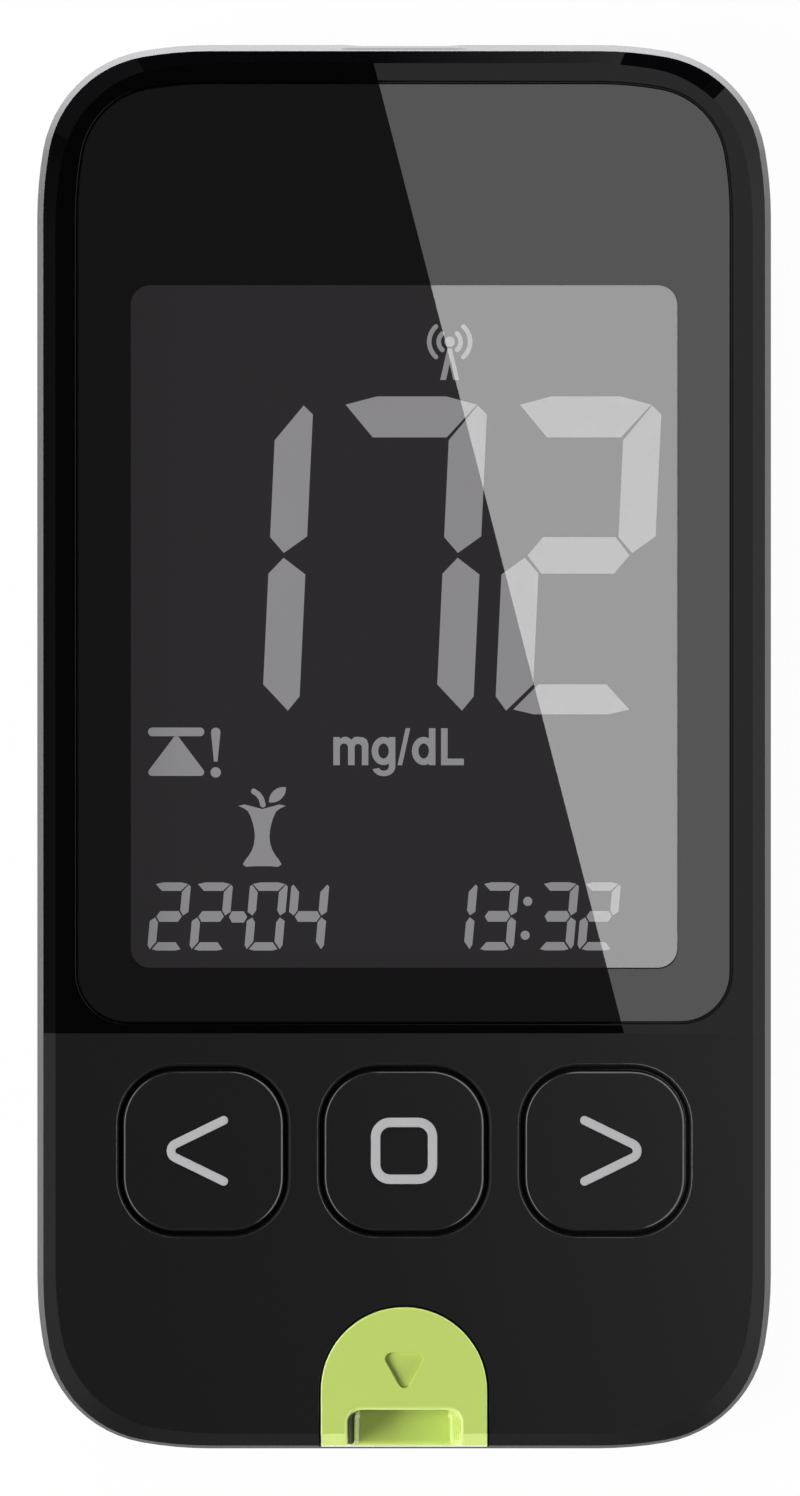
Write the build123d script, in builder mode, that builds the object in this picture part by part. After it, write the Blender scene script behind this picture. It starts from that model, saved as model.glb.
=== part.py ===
from build123d import *
from math import cos, radians, sin
import os

# A pocket blood glucose meter lying on its back, in millimetres.
# The display faces +Z and its top end points to +Y. The case lies on z = 0, and the
# origin is the middle of its footprint. Every sub-part is modelled where it is fitted.

os.makedirs("parts", exist_ok=True)

# ---- Driving dimensions ----------------------------------------------------------

# Case walls
wall = 1.6                     # sides of the rear cover
back_wall = 1.5
front_wall = 1.6
rim = 0.5                      # the sides lean in this much from their widest line up
back_edge_radius = 2.8         # rounding of the back's edge; the case is widest above it
front_edge_height = 1.0        # upright edge of the front cover
bevel = 0.8                    # bevel round the front, as wide as it is high
tongue_height = 1.8            # lip of the front cover inside the rear cover
tongue_thickness = 0.9
tongue_gap = 0.1

# Corners of the case and of the lens: a tight arc between two slow ones
corner_soft_angle = 10.0
corner_soft_radius = 26.0
corner_tight_radius = 8.0

# Lens, window and groove
window_width = 35.8
window_length = 44.7
window_corner_radius = 1.3
window_relief = 0.5            # the ledge's opening is this much larger than the window
lens_side_border = 3.45
lens_top_border = 13.2
lens_low_border = 3.5
lens_low_corner_radius = 3.3
lens_groove = 0.12
lens_edge_chamfer = 0.08
lens_side_land = 2.25          # cover between the lens and the case's side
lens_top_land = 2.1
ledge_land = 1.2               # the ledge under the lens reaches this far past it
tape_margin = 0.3
tape_width = 1.8

# Display cell and its holder
glass_margin = 1.3
glass_low_margin = 2.6
glass_ledge = 2.0              # the front glass overhangs the rear glass by this
polariser_margin = 0.3
frame_clearance = 0.2
frame_wall = 1.0
frame_grip = 0.4               # the holder's wall stands this far up the front glass
frame_side_gap = 0.2
peg_radius = 0.8
peg_inset = 1.5
peg_overrun = 0.4
peg_clearance = 0.1
contact_strip_width = 1.5
contact_strip_margin = 1.4

# Heights, from the back to the front
cell_float = 0.2
cell_height = 3.2
contact_height = 0.3
ceiling = 0.8
board_rest = 0.8
board_thickness = 1.0
frame_floor = 1.2
reflector_thickness = 0.1
guide_thickness = 1.0
polariser_thickness = 0.15
glass_thickness = 0.7
gasket_thickness = 0.4
ledge_thickness = 0.9
tape_thickness = 0.1
lens_thickness = 1.0

# Buttons, silicone mat and snap domes
button_size = 10.5
button_corner_radius = 3.5
button_gap = 0.28
button_spacing = 2.63
button_edge_radius = 0.2
button_hole_chamfer = 0.15
button_to_lens = 3.15
port_to_button = 4.95
flange_margin = 0.7
flange_thickness = 0.55
button_play = 0.05             # free space above the flange and below the plunger
plunger_radius = 1.25
mat_base = 0.5
mat_margin = 1.8               # mat past the bells, towards either end
mat_corner_radius = 2.0
bell_height = 0.75
bell_foot_radius = 3.2
bell_top_radius = 1.9
bell_wall = 0.4
nub_radius = 1.0
nub_clearance = 0.05
dome_radius = 2.1
dome_height = 0.35
dome_thickness = 0.1

# Strip port
port_width = 10.9
port_length = 9.6
port_gap = 0.12
port_plate = 1.6
port_flange_margin = 0.8
port_flange_thickness = 0.55
port_flange_play = 0.05
port_end_thickness = 2.3
port_sill = 2.2                # the end wall reaches this far below the strip
pocket_width = 7.2
pocket_floor_width = 5.7       # flat of the floor, between its rounded sides
pocket_floor_radius = 0.55
pocket_length = 2.85
pocket_corner_radius = 0.8
pocket_lip_radius = 0.36
port_edge_radius = 0.1
strip_height = 2.4             # the strip's underside above the board
strip_slot_width = 5.8
strip_slot_height = 0.75
tunnel_length = 2.25
tunnel_wall = 1.2
arrow_width = 3.08
arrow_length = 2.75
arrow_corner_radius = 0.42
arrow_depth = 0.3
arrow_from_arch = 3.0          # from the top of the arch to the arrow's flat side

# Strip connector and contacts
connector_length = 8.0
connector_wall = 1.3
connector_roof = 0.85
connector_gap = 0.2
strip_depth = 5.2              # how far the strip goes into the connector
contact_count = 5
contact_pitch = 1.05
contact_width = 0.45
contact_metal = 0.15
contact_slot_width = 0.7
contact_dip = 0.1              # the contacts' bends stand this far into the strip's slot

# Strip ejector
ejector_travel = 4.0
pusher_width = 2.0
pusher_length = 2.0
pusher_height = 0.5            # the pusher's top above the strip's underside
pusher_clearance = 0.3
pusher_rest_gap = 0.1          # between the strip's end stop and the resting pusher
neck_clearance = 0.08
ejector_rib_width = 4.0
thumb_width = 8.0
thumb_length = 7.2
thumb_thickness = 0.6
thumb_setback = 0.1
thumb_recess = 0.8
thumb_corner_radius = 1.2
thumb_groove_width = 0.5
thumb_groove_depth = 0.25
thumb_groove_pitch = 1.3
neck_width = 2.4
neck_length = 4.0
carriage_barb = 0.8
carriage_height = 1.2
carriage_lift = 0.1
spring_radius = 1.15
spring_wire = 0.3
spring_turns = 8
spring_lift = 0.2
spring_stop = 1.0

# Coin cells, compartment, contacts and door
cell_diameter = 20.0
cell_gap = 0.6
cell_cap_inset = 1.4
cell_cap_height = 0.3
cell_edge_radius = 0.4
cells_from_top = 25.0
cell_clearance = 0.25
cell_link_width = 6.0
cell_link_length = 14.0
door_end_margin = 2.0
door_side_margin = 0.6
door_edge_land = 0.3           # flat of the back left beside the door
door_gap = 0.15
door_corner_radius = 1.5
door_setback = 0.05
compartment_wall = 1.0
hinge_radius = 0.95
hinge_pin_radius = 0.4
hinge_pin_length = 0.7
hinge_pin_clearance = 0.05
finger_notch_radius = 4.0
finger_notch_depth = 0.6
leaf_width = 3.0
leaf_length = 9.0
leaf_metal = 0.15
leaf_clearance = 0.05
leaf_slot_clearance = 0.3
tab_width = 2.4

# Screws and bosses
case_screw_from_side = 5.5
case_screw_from_top = 9.0
case_screw_from_end = 10.0
rear_boss_radius = 2.8
front_boss_radius = 2.2
case_screw_head_radius = 1.8
case_screw_head_height = 1.3
case_screw_radius = 0.95
case_screw_length = 8.0
case_screw_clearance = 0.2
counterbore_depth = 3.0
thread_clearance = 0.02
pilot_overrun = 0.4
drive_width = 0.5
drive_length = 2.2
drive_depth = 0.5
board_screw_x = 9.0
board_screw_from_top = 9.5
board_screw_low_x = 11.5
board_screw_from_end = 8.5
board_post_radius = 1.8
board_screw_head_radius = 1.4
board_screw_head_height = 0.7
board_screw_radius = 0.7
board_screw_length = 4.0
board_drive_length = 1.7
board_gap = 0.3
boss_notch_gap = 0.3

# Parts on the board
main_chip_size = 9.0
main_chip_height = 1.2
memory_chip_to_buzzer = 2.0
memory_chip_width = 5.0
memory_chip_length = 6.0
memory_chip_height = 1.0
memory_chip_from_side = 13.0
radio_width = 11.0
radio_length = 9.0
radio_height = 1.6
radio_from_side = 12.0
radio_can_inset = 0.8
crystal_length = 3.2
crystal_width = 1.5
crystal_height = 0.8
crystal_to_chip = 2.25
buzzer_radius = 4.5
buzzer_height = 3.0
buzzer_from_side = 12.0
buzzer_to_compartment = 2.0
buzzer_port_radius = 1.0
chip_corner_chamfer = 0.2
led_width = 2.8
led_depth = 0.8
led_height = 0.8
led_count = 3
led_pitch = 10.0
led_gap = 0.1

# Data port in the top end
data_port_width = 7.5
data_port_height = 2.6
data_port_depth = 5.0
data_port_wall = 0.25
data_port_corner_radius = 0.9
data_port_setback = 0.6
data_port_clearance = 0.2
data_port_flare = 0.5          # the opening widens this much towards the case's widest line
data_tongue_width = 3.7
data_tongue_thickness = 0.7
data_tongue_root = 1.2
data_tongue_setback = 0.8
scoop_width = 7.7
scoop_ramp = 1.0
scoop_depth = 0.09

# Back details
label_width = 28.0
label_length = 18.0
label_to_sound_holes = 4.5
label_recess = 0.2
label_thickness = 0.1
label_margin = 0.2
label_corner_radius = 1.5
sound_hole_radius = 0.4
sound_hole_circle = 1.6
sound_hole_count = 5

# ---- Sizes and places that follow ------------------------------------------------

lens_width = window_width + 2 * lens_side_border
lens_length = lens_top_border + window_length + lens_low_border
glass_width = window_width + 2 * glass_margin
glass_length = window_length + glass_margin + glass_low_margin
frame_width = glass_width + 2 * (frame_clearance + frame_wall)
door_opening_width = 2 * cell_diameter + cell_gap + 2 * door_side_margin
door_opening_length = cell_diameter + 2 * door_end_margin

# The case is as wide as the widest of what it has to hold.
lip = rim + wall + tongue_gap + tongue_thickness
width_for_lens = lens_width + 2 * (lens_side_land + rim)
width_for_frame = frame_width + 2 * (frame_side_gap + lip)
width_for_cells = door_opening_width + 2 * (back_edge_radius + door_edge_land)
width = max(width_for_lens, width_for_frame, width_for_cells)
length = (
    rim + lens_top_land + lens_length + button_to_lens
    + button_size + port_to_button + port_length
)
side_x = width / 2
buzzer_x = buzzer_from_side - side_x
memory_chip_x = memory_chip_from_side - side_x
radio_x = side_x - radio_from_side
top_y = length / 2
end_y = -length / 2

# Heights
cell_z = back_wall + cell_float
ceiling_low_z = cell_z + cell_height + contact_height
ceiling_z = ceiling_low_z + ceiling
board_z = ceiling_z + board_rest
board_top_z = board_z + board_thickness
reflector_z = board_top_z + frame_floor
guide_z = reflector_z + reflector_thickness
rear_polariser_z = guide_z + guide_thickness
rear_glass_z = rear_polariser_z + polariser_thickness
front_glass_z = rear_glass_z + glass_thickness
front_polariser_z = front_glass_z + glass_thickness
gasket_z = front_polariser_z + polariser_thickness
ledge_z = gasket_z + gasket_thickness
tape_z = ledge_z + ledge_thickness
lens_z = tape_z + tape_thickness
thickness = lens_z + lens_thickness
front_under_z = thickness - front_wall
bevel_z = thickness - bevel
parting_z = bevel_z - front_edge_height
tongue_z = parting_z - tongue_height
frame_top_z = front_glass_z + frame_grip
strip_z = board_top_z + strip_height

# Places along the length
lens_top_y = top_y - rim - lens_top_land
lens_low_y = lens_top_y - lens_length
window_top_y = lens_top_y - lens_top_border
window_y = window_top_y - window_length / 2
glass_top_y = window_top_y + glass_margin
glass_low_y = glass_top_y - glass_length
rear_glass_low_y = glass_low_y + glass_ledge
frame_top_y = glass_top_y + frame_clearance + frame_wall
frame_low_y = glass_low_y - frame_clearance - frame_wall
button_y = lens_low_y - button_to_lens - button_size / 2
button_pitch = button_size + button_spacing
port_top_y = end_y + port_length
port_arch_y = port_top_y - port_width / 2
pocket_y = end_y + pocket_length
tunnel_y = pocket_y + tunnel_length
connector_front_y = tunnel_y + connector_gap
connector_rear_y = connector_front_y + connector_length
cell_y = top_y - cells_from_top
door_top_y = cell_y + door_opening_length / 2
door_low_y = cell_y - door_opening_length / 2
buzzer_y = door_low_y - compartment_wall - buzzer_to_compartment - buzzer_radius
main_chip_y = buzzer_y - buzzer_radius - memory_chip_to_buzzer - memory_chip_length / 2
crystal_y = main_chip_y - (main_chip_size + crystal_width) / 2 - crystal_to_chip
sound_holes_low_y = buzzer_y - sound_hole_circle - sound_hole_radius
label_y = sound_holes_low_y - label_to_sound_holes - label_length / 2

button_names = ("left", "main", "right")
button_points = [(side * button_pitch, button_y) for side in (-1, 0, 1)]
case_screw_points = [
    (side * (side_x - case_screw_from_side), y)
    for side in (-1, 1)
    for y in (top_y - case_screw_from_top, end_y + case_screw_from_end)
]
board_screw_points = [
    (side * x, y)
    for side in (-1, 1)
    for x, y in (
        (board_screw_x, top_y - board_screw_from_top),
        (board_screw_low_x, end_y + board_screw_from_end),
    )
]
peg_points = [
    (side * (frame_width / 2 - peg_inset), y)
    for side in (-1, 1)
    for y in (frame_top_y - peg_inset, frame_low_y + peg_inset)
]
cell_x = (cell_diameter + cell_gap) / 2
cell_points = [(-cell_x, cell_y), (cell_x, cell_y)]

# Strip ejector, at rest behind the strip
pusher_front_y = connector_front_y + strip_depth + pusher_rest_gap
pusher_rear_y = pusher_front_y + pusher_length
neck_rear_y = pusher_front_y + neck_length
thumb_y = pusher_front_y + neck_length / 2
spring_seat_y = pusher_front_y - carriage_barb / 2
spring_stop_y = end_y + wall + spring_stop
spring_z = back_wall + spring_lift + spring_radius + spring_wire / 2
spring_seat_z = spring_z + spring_radius + spring_wire / 2

# Door hinge
hinge_y = door_low_y + door_gap + hinge_radius
hinge_z = hinge_radius + door_setback


# ---- Outlines and helpers --------------------------------------------------------

def across(full_width):
    """The two ends of a span centred on the meter's middle."""
    return (-full_width / 2, full_width / 2)


def block(x_span, y_span, z_span, mode=Mode.ADD):
    """Add or cut a block given by its low and high end along each axis."""
    spans = (x_span, y_span, z_span)
    with Locations(tuple((low + high) / 2 for low, high in spans)):
        Box(*(high - low for low, high in spans), mode=mode)


def wall_inset(height):
    """How far the leaning side has come in from its widest line at this height."""
    return rim * (height - back_edge_radius) / (parting_z - back_edge_radius)


def corner_reach(soft_radius, tight_radius):
    """Length of side that a softened corner takes up."""
    soft = sin(radians(corner_soft_angle))
    tight = cos(radians(corner_soft_angle))
    return soft_radius * (1 + soft - tight) + tight_radius * (tight - soft)


def soft_corner(start, soft_radius, tight_radius):
    """Draw a softened corner from a side that runs towards +Y, and give its end."""
    lead_in = JernArc(start, (0, 1), soft_radius, corner_soft_angle)
    turn = JernArc(lead_in @ 1, lead_in % 1, tight_radius, 90 - 2 * corner_soft_angle)
    lead_out = JernArc(turn @ 1, turn % 1, soft_radius, corner_soft_angle)
    return lead_out @ 1


def case_outline(inset, corner_gain=0.0):
    """Outline of the case, drawn in from its widest line."""
    soft_radius = corner_soft_radius - inset + corner_gain
    tight_radius = corner_tight_radius - inset + corner_gain
    half_width = side_x - inset
    half_length = top_y - inset
    with BuildSketch() as outline:
        with BuildLine():
            reach = corner_reach(soft_radius, tight_radius)
            side = Line((half_width, 0), (half_width, half_length - reach))
            corner_end = soft_corner(side @ 1, soft_radius, tight_radius)
            Line(corner_end, (0, half_length))
            mirror(about=Plane.YZ)
            mirror(about=Plane.XZ)
        make_face()
    return outline.sketch


def lens_outline(grow=0.0):
    """Outline of the lens: the case's corners above and small ones below."""
    case_to_lens = rim + lens_side_land
    soft_radius = corner_soft_radius - case_to_lens + grow
    tight_radius = corner_tight_radius - case_to_lens + grow
    low_radius = lens_low_corner_radius + grow
    half_width = lens_width / 2 + grow
    high = lens_top_y + grow
    low = lens_low_y - grow
    with BuildSketch() as outline:
        with BuildLine():
            base = Line((0, low), (half_width - low_radius, low))
            heel = JernArc(base @ 1, base % 1, low_radius, 90)
            side = Line(heel @ 1, (half_width, high - corner_reach(soft_radius, tight_radius)))
            corner_end = soft_corner(side @ 1, soft_radius, tight_radius)
            Line(corner_end, (0, high))
            mirror(about=Plane.YZ)
        make_face()
    return outline.sketch


def port_outline(grow=0.0):
    """Outline of the port piece: a round arch that runs out over the lower end."""
    arch_radius = port_width / 2 + grow
    with BuildSketch() as outline:
        with Locations((0, port_arch_y)):
            Circle(arch_radius)
            Rectangle(2 * arch_radius, length, align=(Align.CENTER, Align.MAX))
    return outline.sketch


def window_outline(grow=0.0):
    """Outline of the display window."""
    with BuildSketch() as outline:
        with Locations((0, window_y)):
            RectangleRounded(
                window_width + 2 * grow, window_length + 2 * grow, window_corner_radius + grow
            )
    return outline.sketch


def glass_outline(margin=0.0, low_margin=None):
    """Outline of the front glass, drawn in by a margin at its sides and ends."""
    low = glass_low_y + (margin if low_margin is None else low_margin)
    high = glass_top_y - margin
    with BuildSketch() as outline:
        with Locations((0, (low + high) / 2)):
            Rectangle(glass_width - 2 * margin, high - low)
    return outline.sketch


def whole_case():
    """The closed case as one solid, for pieces that end in its outer surface."""
    levels = (
        (0, wall_inset(0), 0),
        (parting_z, rim, 0),
        (bevel_z, rim, 0),
        (thickness, rim + bevel, bevel),
    )
    with BuildPart() as case:
        for height, inset, gain in levels:
            with BuildSketch(Plane.XY.offset(height)):
                add(case_outline(inset, gain))
        loft(ruled=True)
    return case.part


# ---- Rear cover ------------------------------------------------------------------

with BuildPart() as rear_cover:
    # A deep tub with leaning sides and a rounded back edge
    for height in (0, parting_z):
        with BuildSketch(Plane.XY.offset(height)):
            add(case_outline(wall_inset(height)))
    loft(ruled=True)
    fillet(rear_cover.faces().sort_by(Axis.Z)[0].edges(), back_edge_radius)
    for height in (back_wall, parting_z):
        with BuildSketch(Plane.XY.offset(height)):
            add(case_outline(wall_inset(height) + wall))
    loft(ruled=True, mode=Mode.SUBTRACT)

    # Battery compartment, bosses for the case screws and posts for the board
    compartment_width = door_opening_width + 2 * compartment_wall
    compartment_y = (door_low_y - compartment_wall, door_top_y + compartment_wall)
    block(across(compartment_width), compartment_y, (back_wall, ceiling_z))
    with BuildSketch(Plane.XY.offset(back_wall)):
        with Locations(*case_screw_points):
            Circle(rear_boss_radius)
    extrude(amount=ceiling_z - back_wall)
    with BuildSketch(Plane.XY.offset(back_wall)):
        with Locations(*board_screw_points):
            Circle(board_post_radius)
    extrude(amount=board_z - back_wall)

    # Rib that the ejector's spring bears on
    block(across(ejector_rib_width), (end_y + wall / 2, spring_stop_y), (back_wall, spring_seat_z))

    # Pockets for the two cells, open to each other in the middle
    with BuildSketch():
        with Locations(*cell_points):
            Circle(cell_diameter / 2 + cell_clearance)
        with Locations((0, cell_y)):
            Rectangle(cell_link_width, cell_link_length)
    extrude(amount=ceiling_low_z, mode=Mode.SUBTRACT)

    # Door opening, with room for the hinge barrel and holes for its pins
    with BuildSketch():
        with Locations((0, cell_y)):
            Rectangle(door_opening_width, door_opening_length)
        fillet(vertices().group_by(Axis.Y)[-1], door_corner_radius)
    extrude(amount=back_wall, mode=Mode.SUBTRACT)
    with Locations(Location((0, hinge_y, hinge_z), (0, 90, 0))):
        Cylinder(hinge_radius + door_gap, door_opening_width, mode=Mode.SUBTRACT)
        Cylinder(
            hinge_pin_radius + hinge_pin_clearance,
            door_opening_width + 2 * (hinge_pin_length + hinge_pin_clearance),
            mode=Mode.SUBTRACT,
        )

    # Slots for the battery contacts, up through the compartment's ceiling
    leaf_leg_y = cell_y + leaf_length / 2
    tab_y = cell_y - cell_diameter / 2 - leaf_clearance - leaf_metal / 2
    for x, y in cell_points:
        block(
            (x - leaf_width / 2 - leaf_slot_clearance, x + leaf_width / 2 + leaf_slot_clearance),
            (leaf_leg_y - leaf_slot_clearance, leaf_leg_y + leaf_metal + leaf_slot_clearance),
            (ceiling_low_z, ceiling_z),
            mode=Mode.SUBTRACT,
        )
        block(
            (x - tab_width / 2 - leaf_slot_clearance, x + tab_width / 2 + leaf_slot_clearance),
            (tab_y - leaf_metal / 2 - leaf_slot_clearance, cell_y - cell_diameter / 2),
            (back_wall, ceiling_z),
            mode=Mode.SUBTRACT,
        )

    # Screw holes: deep counterbores from the back, pilot holes in the posts
    with BuildSketch():
        with Locations(*case_screw_points):
            Circle(case_screw_head_radius + case_screw_clearance)
    extrude(amount=counterbore_depth, mode=Mode.SUBTRACT)
    with BuildSketch():
        with Locations(*case_screw_points):
            Circle(case_screw_radius + case_screw_clearance)
    extrude(amount=ceiling_z, mode=Mode.SUBTRACT)
    with BuildSketch(Plane.XY.offset(board_z)):
        with Locations(*board_screw_points):
            Circle(board_screw_radius + thread_clearance)
    extrude(amount=-(board_screw_length - board_thickness + pilot_overrun), mode=Mode.SUBTRACT)

    # Notch in the lower end for the port piece
    block(
        across(port_width + 2 * port_gap),
        (end_y - wall, end_y + 2 * wall),
        (strip_z - port_sill - port_gap, parting_z),
        mode=Mode.SUBTRACT,
    )

    # Shallow scoop in the top end round the data port, and the port's flared opening
    with BuildSketch():
        with BuildLine():
            Polyline(
                (-scoop_width / 2 - wall, top_y + wall),
                (-scoop_width / 2, top_y),
                (scoop_ramp - scoop_width / 2, top_y - scoop_depth),
                (scoop_width / 2 - scoop_ramp, top_y - scoop_depth),
                (scoop_width / 2, top_y),
                (scoop_width / 2 + wall, top_y + wall),
                close=True,
            )
        make_face()
    extrude(amount=parting_z, mode=Mode.SUBTRACT)
    with BuildSketch(Plane.XZ.offset(-top_y - wall)):
        with Locations((0, board_top_z + data_port_height / 2)):
            RectangleRounded(
                data_port_width + 2 * data_port_clearance,
                data_port_height + 2 * data_port_clearance,
                data_port_corner_radius + data_port_clearance,
            )
    extrude(amount=3 * wall, mode=Mode.SUBTRACT)
    for depth in (0, data_port_flare):
        grow = data_port_clearance + data_port_flare - depth
        with BuildSketch(Plane.XZ.offset(depth - top_y)):
            with Locations((0, board_top_z + data_port_height / 2)):
                RectangleRounded(
                    data_port_width + 2 * grow,
                    data_port_height + 2 * grow,
                    data_port_corner_radius + grow,
                )
    loft(ruled=True, mode=Mode.SUBTRACT)

    # Recess and slot for the strip ejector
    thumb_span = (
        thumb_y - thumb_length / 2 - ejector_travel - pusher_clearance,
        thumb_y + thumb_length / 2 + pusher_clearance,
    )
    with BuildSketch():
        with Locations((0, sum(thumb_span) / 2)):
            RectangleRounded(
                thumb_width + 2 * pusher_clearance,
                thumb_span[1] - thumb_span[0],
                thumb_corner_radius + pusher_clearance,
            )
    extrude(amount=thumb_recess, mode=Mode.SUBTRACT)
    block(
        across(neck_width + 2 * neck_clearance),
        (pusher_front_y - ejector_travel - pusher_clearance, neck_rear_y + pusher_clearance),
        (0, back_wall),
        mode=Mode.SUBTRACT,
    )

    # Recess for the label and holes over the buzzer
    with BuildSketch():
        with Locations((0, label_y)):
            RectangleRounded(label_width, label_length, label_corner_radius)
    extrude(amount=label_recess, mode=Mode.SUBTRACT)
    with BuildSketch():
        with Locations((buzzer_x, buzzer_y)):
            with PolarLocations(sound_hole_circle, sound_hole_count):
                Circle(sound_hole_radius)
    extrude(amount=back_wall, mode=Mode.SUBTRACT)
rear_cover.part.label = "rear_cover"
export_step(rear_cover.part, "parts/rear_cover.step")


# ---- Front cover -----------------------------------------------------------------

with BuildPart() as front_cover:
    # Lid with a bevel that keeps the corners' radii
    for height, inset, gain in (
        (parting_z, rim, 0),
        (bevel_z, rim, 0),
        (thickness, rim + bevel, bevel),
    ):
        with BuildSketch(Plane.XY.offset(height)):
            add(case_outline(inset, gain))
    loft(ruled=True)

    # Tongue that drops into the rear cover
    with BuildSketch(Plane.XY.offset(tongue_z)):
        add(case_outline(rim + wall + tongue_gap))
    extrude(amount=parting_z - tongue_z)
    with BuildSketch(Plane.XY.offset(tongue_z)):
        add(case_outline(lip))
    extrude(amount=front_under_z - tongue_z, mode=Mode.SUBTRACT)

    # Ledge that carries the lens, and bosses for the case screws
    with BuildSketch(Plane.XY.offset(ledge_z)):
        add(lens_outline(ledge_land))
        add(case_outline(rim + wall + tongue_gap), mode=Mode.INTERSECT)
    extrude(amount=tape_z - ledge_z)
    with BuildSketch(Plane.XY.offset(ceiling_z)):
        with Locations(*case_screw_points):
            Circle(front_boss_radius)
    extrude(amount=front_under_z - ceiling_z)
    with BuildSketch(Plane.XY.offset(ceiling_z)):
        with Locations(*case_screw_points):
            Circle(case_screw_radius + thread_clearance)
    boss_bite = counterbore_depth + case_screw_length - ceiling_z
    extrude(amount=boss_bite + pilot_overrun, mode=Mode.SUBTRACT)

    # Recess for the lens, and the opening over the display
    with BuildSketch(Plane.XY.offset(tape_z)):
        add(lens_outline(lens_groove))
    extrude(amount=thickness - tape_z, mode=Mode.SUBTRACT)
    with BuildSketch(Plane.XY.offset(ledge_z)):
        add(window_outline(window_relief))
    extrude(amount=tape_z - ledge_z, mode=Mode.SUBTRACT)

    # Openings for the buttons, with broken edges, and for the port piece
    with BuildSketch(Plane.XY.offset(front_under_z)):
        with Locations(*button_points):
            hole_size = button_size + 2 * button_gap
            RectangleRounded(hole_size, hole_size, button_corner_radius + button_gap)
    extrude(amount=front_wall, mode=Mode.SUBTRACT)
    chamfer(
        front_cover.faces().sort_by(Axis.Z)[-1].edges().filter_by(
            lambda edge: abs(edge.center().Y - button_y) < (button_size + button_spacing) / 2
            and abs(edge.center().X) < button_pitch + (button_size + button_spacing) / 2
        ),
        button_hole_chamfer,
    )
    with BuildSketch(Plane.XY.offset(tongue_z)):
        add(port_outline(port_gap))
    extrude(amount=thickness - tongue_z, mode=Mode.SUBTRACT)

    # Gap in the tongue over the data port
    block(
        across(data_port_width + 2 * data_port_clearance),
        (top_y - data_port_setback - data_port_depth, top_y),
        (board_top_z, board_top_z + data_port_height + data_port_clearance),
        mode=Mode.SUBTRACT,
    )
front_cover.part.label = "front_cover"
export_step(front_cover.part, "parts/front_cover.step")


# ---- Lens and its tape -----------------------------------------------------------

with BuildPart() as display_lens:
    with BuildSketch(Plane.XY.offset(lens_z)):
        add(lens_outline())
    extrude(amount=lens_thickness)
    chamfer(display_lens.faces().sort_by(Axis.Z)[-1].edges(), lens_edge_chamfer)
display_lens.part.label = "display_lens"
export_step(display_lens.part, "parts/display_lens.step")

with BuildPart() as lens_tape:
    with BuildSketch(Plane.XY.offset(tape_z)):
        add(lens_outline(-tape_margin))
        add(lens_outline(-tape_margin - tape_width), mode=Mode.SUBTRACT)
    extrude(amount=tape_thickness)
lens_tape.part.label = "lens_tape"
export_step(lens_tape.part, "parts/lens_tape.step")


# ---- Display cell, from its front to its back ------------------------------------

with BuildPart() as display_gasket:
    with BuildSketch(Plane.XY.offset(gasket_z)):
        add(glass_outline(polariser_margin, low_margin=glass_ledge / 2))
        add(window_outline(window_relief), mode=Mode.SUBTRACT)
    extrude(amount=gasket_thickness)
display_gasket.part.label = "display_gasket"
export_step(display_gasket.part, "parts/display_gasket.step")

with BuildPart() as front_polariser:
    with BuildSketch(Plane.XY.offset(front_polariser_z)):
        add(glass_outline(polariser_margin, low_margin=glass_ledge / 2))
    extrude(amount=polariser_thickness)
front_polariser.part.label = "front_polariser"
export_step(front_polariser.part, "parts/front_polariser.step")

with BuildPart() as front_glass:
    with BuildSketch(Plane.XY.offset(front_glass_z)):
        add(glass_outline())
    extrude(amount=glass_thickness)
front_glass.part.label = "front_glass"
export_step(front_glass.part, "parts/front_glass.step")

with BuildPart() as rear_glass:
    with BuildSketch(Plane.XY.offset(rear_glass_z)):
        add(glass_outline(0, low_margin=glass_ledge))
    extrude(amount=glass_thickness)
rear_glass.part.label = "rear_glass"
export_step(rear_glass.part, "parts/rear_glass.step")

with BuildPart() as rear_polariser:
    with BuildSketch(Plane.XY.offset(rear_polariser_z)):
        add(glass_outline(polariser_margin, low_margin=glass_ledge + polariser_margin))
    extrude(amount=polariser_thickness)
rear_polariser.part.label = "rear_polariser"
export_step(rear_polariser.part, "parts/rear_polariser.step")


# ---- Backlight -------------------------------------------------------------------

led_row_y = (glass_top_y - led_depth, glass_top_y)
guide_y = (rear_glass_low_y, glass_top_y - led_depth - led_gap)

with BuildPart() as light_guide:
    block(across(glass_width), guide_y, (guide_z, rear_polariser_z))
light_guide.part.label = "light_guide"
export_step(light_guide.part, "parts/light_guide.step")

with BuildPart() as reflector_sheet:
    block(across(glass_width), guide_y, (reflector_z, guide_z))
reflector_sheet.part.label = "reflector_sheet"
export_step(reflector_sheet.part, "parts/reflector_sheet.step")

with BuildPart() as backlight_leds:
    for place in range(led_count):
        led_x = (place - (led_count - 1) / 2) * led_pitch
        led_span = (led_x - led_width / 2, led_x + led_width / 2)
        block(led_span, led_row_y, (guide_z, guide_z + led_height))
backlight_leds.part.label = "backlight_leds"
export_step(backlight_leds.part, "parts/backlight_leds.step")


# ---- Holder of the display stack, and the contact strip --------------------------

contact_strip_x = across(glass_width - 2 * contact_strip_margin)
contact_strip_y = (glass_low_y + frame_clearance, glass_low_y + frame_clearance + contact_strip_width)

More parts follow.
